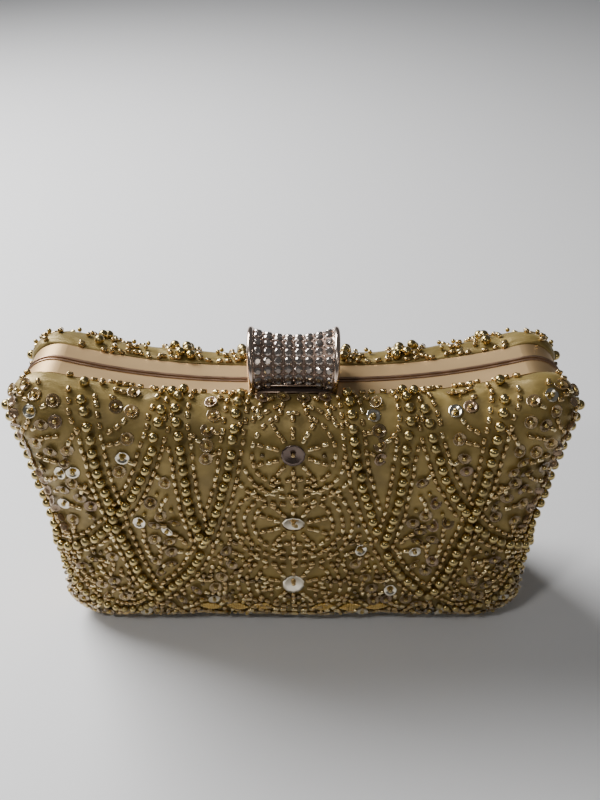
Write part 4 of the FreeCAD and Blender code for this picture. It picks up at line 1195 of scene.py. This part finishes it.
def add_clasp_foot():
    """Two thin bars with a groove between them along the clasp's lower edge; the groove's
    near-black colour is painted shade.
    """
    verts, quads = [], []
    for y, z, radius, half_length in FOOT_BARS:
        shape, shape_faces = tube(radius, half_length, 12)
        first = len(verts)
        verts += [(c, y + b, z + a) for a, b, c in shape]
        quads += [tuple(first + k for k in reversed(face)) for face in shape_faces]
    mesh_object("clasp_foot_bars", verts, quads, TRIM_METAL, "clasp")
    high, low = FOOT_BARS[0][1], FOOT_BARS[1][1]
    half = FOOT_BARS[0][3]
    panel = []
    for k in range(GROOVE_STEPS + 1):
        z = low + (high - low) * k / GROOVE_STEPS
        y = GROOVE_DEPTH + GROOVE_HOLLOW * math.sin(math.pi * k / GROOVE_STEPS)
        panel += [(-half, y, z), (half, y, z)]
    mesh_object("clasp_foot_groove", panel, grid_quads(GROOVE_STEPS, 1), PAINTED_SHADE_GROOVE, "clasp")


add_stones()
add_clasp_foot()


# ---- floor, lights and camera

FLOOR_HALF = 3.0
# place, what it points at, width and height, watts, colour
LIGHTS = {
    "window": ((-0.60, 0.45, 0.70), (0, 0, 0.05), (0.7, 0.5), 22, (0.97, 0.98, 1.0)),
    "room": ((0.5, -0.8, 0.6), (0, 0, 0.06), (0.3, 0.2), 0.4, (1.0, 0.95, 0.88)),
    "sparkle": ((-0.22, -0.32, 0.55), (0, 0, 0.06), (0.06, 0.09), 0.8, (1.0, 1.0, 1.0)),
}
SKY_COLOUR, SKY_STRENGTH = (0.75, 0.78, 0.82, 1), 0.12


def add_floor():
    """A pale table, which is no part of the bag."""
    mesh = bpy.data.meshes.new("floor")
    corners = [(x * FLOOR_HALF, y * FLOOR_HALF, 0) for x, y in ((-1, -1), (1, -1), (1, 1), (-1, 1))]
    mesh.from_pydata(corners, [], [(0, 1, 2, 3)])
    mesh.materials.append(surface("pale_table", (0.80, 0.79, 0.78), 0.0, 0.55,
                                  dents=(60, 4.0, 0.05, 0.001)))
    add_object("floor", mesh)


add_floor()
for name, (place, target, size, watts, colour) in LIGHTS.items():
    data = bpy.data.lights.new(name, "AREA")
    data.shape = "RECTANGLE"
    data.size, data.size_y = size
    data.energy = watts
    data.color = colour
    lamp = add_object(name, data)
    lamp.location = place
    aim = Vector(target) - Vector(place)
    lamp.rotation_euler = aim.to_track_quat("-Z", "Y").to_euler()

world = bpy.data.worlds.new("room_light")
world.use_nodes = True
world.node_tree.nodes["Background"].inputs["Color"].default_value = SKY_COLOUR
world.node_tree.nodes["Background"].inputs["Strength"].default_value = SKY_STRENGTH
bpy.context.scene.world = world

CAMERA_PLACE = (0.00132, -0.27328, 0.29896)
CAMERA_PITCH = 36.11  # degrees below the horizon
CAMERA_YAW = 0.234  # degrees towards +X
CAMERA_ROLL = 0.183
LENS = 39.4  # mm, on the usual 36 mm sensor
NEAREST = 0.01  # m; the camera sees nothing nearer

pitch, yaw, roll = (math.radians(a) for a in (CAMERA_PITCH, CAMERA_YAW, CAMERA_ROLL))
ahead = Vector((math.sin(yaw) * math.cos(pitch), math.cos(yaw) * math.cos(pitch),
                -math.sin(pitch)))
level = Vector((math.cos(yaw), -math.sin(yaw), 0))
upright = level.cross(ahead)
right = math.cos(roll) * level + math.sin(roll) * upright
up = -math.sin(roll) * level + math.cos(roll) * upright
camera_data = bpy.data.cameras.new("camera")
camera_data.lens = LENS
camera_data.clip_start = NEAREST
camera = add_object("camera", camera_data)
camera.matrix_world = (Matrix.Translation(CAMERA_PLACE)
                       @ Matrix((right, up, -ahead)).transposed().to_4x4())
bpy.context.scene.camera = camera

bpy.context.view_layer.update()
